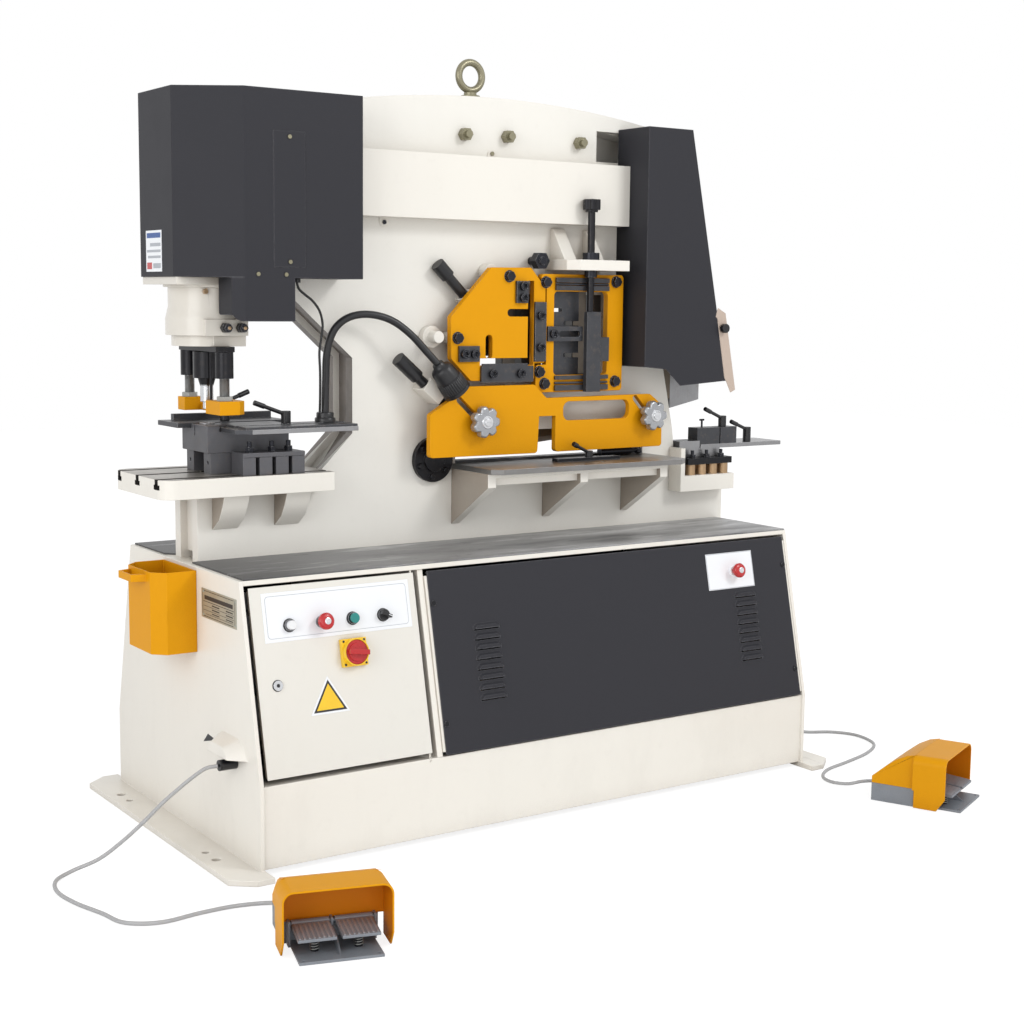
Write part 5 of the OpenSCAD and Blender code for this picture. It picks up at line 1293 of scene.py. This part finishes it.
@dataclass
class Pedals(Group):
    """Two double foot switches, with treads, springs round the cups under them, and ribs."""

    spots: tuple[tuple[Point, float], ...] = (((-1022, -887, 0), -16.6), ((849, -953, 0), 24))
    treads: Pair = (30, 121)
    heart: Point = (115, 40, 62)
    cup_centre: Pair = (39.5, 22)
    cup_height: Pair = (6.5, 29.5)
    cup_radius: float = 8.8
    coil: float = 9.6
    coil_height: Pair = (8.2, 30.8)
    wire: float = 1.2
    turns: int = 4
    ribs: int = 8
    rib_pitch: float = 9.8
    rib_first: Point = (5, 24, 46.5)
    rib_outline: tuple[Pair, Pair] = ((-2.1, 2.1), (-33, 33))
    slope: Pair = (7, 72)

    def frames(self) -> list[Matrix]:
        """Return the frame of each foot switch."""
        return [at(place, turn, "Z") for place, turn in self.spots]

    def inside(self, middle: Vector, normal: Vector) -> bool:
        """Tell whether a face looks into one of the hoods."""
        heart = min((frame @ Vector(self.heart) for frame in self.frames()), key=lambda point: (point - middle).length)
        return normal.dot(middle - heart) < -0.012

    def cup(self, middle: Vector, _normal: Vector) -> bool:
        """Tell whether a face belongs to one of the cups under the treads.

        Args:
            middle: The face's middle.

        Returns:
            Whether it does.
        """
        height = middle.z / MM
        places = (Vector((left + self.cup_centre[0], self.cup_centre[1], height)) for left in self.treads)
        hearts = (frame @ place for place, frame in product(places, self.frames()))
        near = any((heart - middle).length < self.cup_radius * MM for heart in hearts)
        return near and self.cup_height[0] < height < self.cup_height[1]

    def build(self) -> None:
        """Dress the foot switches."""
        nodes = [f"tread_{letter}{number}" for letter, number in product("ab", (1, 2))]
        self.dress(
            # The hoods' insides get the darker orange of painted shade.
            Solid("pedal_hoods", Kit.ORANGE, 0.0008, ((self.inside, Kit.DEEP_ORANGE),), angle=40),
            Solid("pedal_bases", Kit.ALLOY, 0.0006, ((self.cup, Kit.BLACK_OXIDE),)),
            *(Solid(node, Kit.ALLOY, 0.0008) for node in nodes),
        )
        for node, (frame, left) in zip(nodes, product(self.frames(), self.treads)):
            self.tread(node, frame @ Matrix.Translation((left, 0, 0)))

    def tread(self, node: str, frame: Matrix) -> None:
        """Lay the ribs on one tread and wind the spring round the cup under it.

        Args:
            node: The tread's node.
            frame: Where the tread begins.
        """
        bar = Shape().plate(box(*self.rib_outline), -0.8, 1.6, at((0, 0, 0)))
        part = bar.done(f"{node}_rib", self.paint[Kit.TREAD], 30, 0.0006)
        turn = frame.to_3x3().normalized() @ Matrix.Rotation(math.atan2(*self.slope), 3, "X")
        places = [frame @ (Vector(self.rib_first) + Vector((self.rib_pitch * k, 0, 0))) for k in range(self.ribs)]
        self.mount(self.copier.lay(f"{node}_ribs", part, places, turn), node)
        loop = circle(24, self.coil, self.cup_centre)
        low, high = self.coil_height
        points = loop * self.turns + loop[:1]
        rise = (high - low) / (len(points) - 1)
        line = [frame @ Vector((*point, low + rise * k)) for k, point in enumerate(points)]
        self.add(Shape().swept(line, self.wire, 8), f"{node}_spring", Kit.ZINC, "pedal_bases", smooth=60)


@dataclass
class WorkLamp(Group):
    """Gooseneck lamp on the gauge plate."""

    foot: Point = (-484, -60, 1005)
    neck: tuple[Point, ...] = (
        (-484, -60, 1030), (-482, -60, 1110), (-480, -64, 1180), (-464, -72, 1235), (-427, -80, 1266),
        (-375, -90, 1274), (-318, -102, 1260), (-268, -114, 1225), (-222, -126, 1176), (-198, -132, 1150),
    )
    neck_width: float = 19
    lean: float = 140
    depth: float = 88
    lobes: int = 34
    collar_reach: float = 37.6
    collar_hollow: float = 1.7

    def build(self) -> None:
        """Build the foot, the neck, the head with its ribbed collar, and the lens."""
        head = at(self.neck[-1], self.lean, "Y")
        base = ((26, 0), (26, 9), (25, 10.6), (22, 11), (22, 22), (20.5, 24.4), (12, 25), (0, 25))
        shade = (
            (0, -1), (13, -1), (15, 0.5), (16.5, 8), (20, 11.5), (26.5, 15), (28.5, 18), (30.5, 24), (33.2, 50),
            (34.2, 50.6), (34.2, 52), (33.6, 52.6), (36.4, 86), (38, 87), (38, 95.4), (37.4, 96), (35.6, 96),
            (35, 95.2), (34.8, 88), (0, 88),
        )
        collar = ((0.925, 54), (0.945, 55), (1, 85), (0.97, 86.4))
        lamp = Shape().turned(base, at(self.foot), circle(56))
        lamp.swept(curve_through(self.neck, 9), self.neck_width / 2, 28)
        lamp.turned(shade, head, circle(64))
        lamp.turned(collar, head, star(self.lobes, self.collar_reach, self.collar_hollow))
        self.add(lamp, "work_lamp_round", Kit.BLACK, "work_lamp", "work_lamp", smooth=38)
        glass = ((34.5, -0.5), (34.5, 1.5), (30, 3.6), (18, 5.2), (0, 5.8))
        lens = Shape().turned(glass, head @ Matrix.Translation((0, 0, self.depth)), circle(56))
        self.add(lens, "work_lamp_lens", Kit.LENS, "work_lamp", smooth=60)


# ---- studio ----


@dataclass
class Studio:
    """Camera, soft lights, white surroundings and a pale floor."""

    place: Point = (-2.425, -3.7305, 1.316)
    yaw: float = 34.4
    pitch: float = 7.38
    roll: float = 0.63
    sensor: float = 36
    focal: float = 1643.57 / 1024 * 36
    surround: float = 0.71
    floor_tone: Colour = (0.93, 0.93, 0.93)
    floor_glow: float = 1.25
    floor_seen: float = 0.66
    lamps: tuple[tuple[str, Point, Point, float, float], ...] = (
        ("key", (2.3, -4.6, 4.4), (0, 0, 0.9), 100, 1.5),
        ("low", (-1.6, -6.0, 0.9), (0, 0, 0.6), 34, 3.5),
        ("fill", (-5.0, -2.4, 2.2), (0, 0, 0.7), 78, 3.0),
    )

    def camera(self) -> None:
        """Set the camera at the viewing angle."""
        yaw, pitch, roll = (math.radians(angle) for angle in (self.yaw, self.pitch, self.roll))
        ahead = Vector((math.sin(yaw) * math.cos(pitch), math.cos(yaw) * math.cos(pitch), -math.sin(pitch)))
        right = Vector((math.cos(yaw), -math.sin(yaw), 0))
        up = right.cross(ahead)
        side, over = right * math.cos(roll) + up * math.sin(roll), up * math.cos(roll) - right * math.sin(roll)
        data = bpy.data.cameras.new("camera")
        data.lens, data.sensor_width, data.clip_end = self.focal, self.sensor, 60
        camera = bpy.context.scene.camera = placed("camera", data)
        camera.matrix_world = Matrix.Translation(self.place) @ Matrix((side, over, -ahead)).transposed().to_4x4()

    def lamp(self, name: str, place: Point, target: Point, power: float, size: float) -> None:
        """Add a square area lamp.

        Args:
            name: Its name.
            place: Where it stands, in metres.
            target: Where it looks.
            power: Its power in watts.
            size: Its side in metres.
        """
        data = bpy.data.lights.new(name, "AREA")
        data.energy, data.size = power, size
        lamp = placed(name, data)
        lamp.location = place
        lamp.rotation_euler = (Vector(target) - Vector(place)).to_track_quat("-Z", "Y").to_euler()

    def world(self) -> None:
        """Light from all round, and plain white where the camera or a gloss sees past the machine."""
        world = bpy.context.scene.world = bpy.data.worlds.new("surroundings")
        r = Recipe(world)
        camera, clear, gloss = (
            r.add("ShaderNodeLightPath", output=f"Is {kind} Ray") for kind in ("Camera", "Transmission", "Glossy")
        )
        seen = camera.maths("MAXIMUM", clear).maths("MAXIMUM", gloss)
        level = seen * (1 - self.surround) + self.surround
        back = r.add("ShaderNodeBackground", {"Color": (1, 1, 1), "Strength": level})
        r.node("ShaderNodeOutputWorld", {"Surface": back})

    def floor(self) -> None:
        """Lay a pale floor that keeps the machine's shadow."""
        r = Recipe(bpy.data.materials.new("floor"))
        plain = r.add("ShaderNodeBsdfDiffuse", {"Color": self.floor_tone})
        white = r.add("ShaderNodeEmission", {"Strength": self.floor_glow})
        seen = r.add("ShaderNodeLightPath", output="Is Camera Ray") * self.floor_seen
        r.node("ShaderNodeOutputMaterial", {"Surface": r.add("ShaderNodeMixShader", {0: seen, 1: plain, 2: white})})
        mesh = bpy.data.meshes.new("floor")
        mesh.from_pydata([(x, y, 0) for x, y in box((-12, 12), (-12, 12))], [], [(0, 1, 2, 3)])
        mesh.materials.append(r.owner)
        floor = placed("floor", mesh)
        floor.location.z = -0.001

    def build(self) -> None:
        """Build the studio."""
        bpy.context.scene.view_settings.view_transform = "Standard"
        self.camera()
        self.world()
        self.floor()
        for lamp in self.lamps:
            self.lamp(*lamp)


def main() -> None:
    """Build the whole scene around the frame."""
    logging.basicConfig(level=logging.INFO, format="%(message)s")
    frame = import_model()
    kit = (frame, Paintbox(), Copier())
    Studio().build()
    cords = (
        Cord(*kit, "pedal_cord_a", LEFT_CORD, 10, Kit.SHEATH, "loose"),
        Cord(*kit, "pedal_cord_b", RIGHT_CORD, 10, Kit.SHEATH, "loose"),
        Cord(*kit, "lamp_cable", LAMP_LEAD, 7, Kit.CABLE, "hanging"),
    )
    groups = (kind(*kit) for kind in (Cabinet, Body, PunchStation, ShearStation, NotchStation, Pedals, WorkLamp))
    for group in (*cords, *groups):
        group.build()
        LOG.info("%s done", type(group).__name__)


if __name__ == "__main__":
    main()
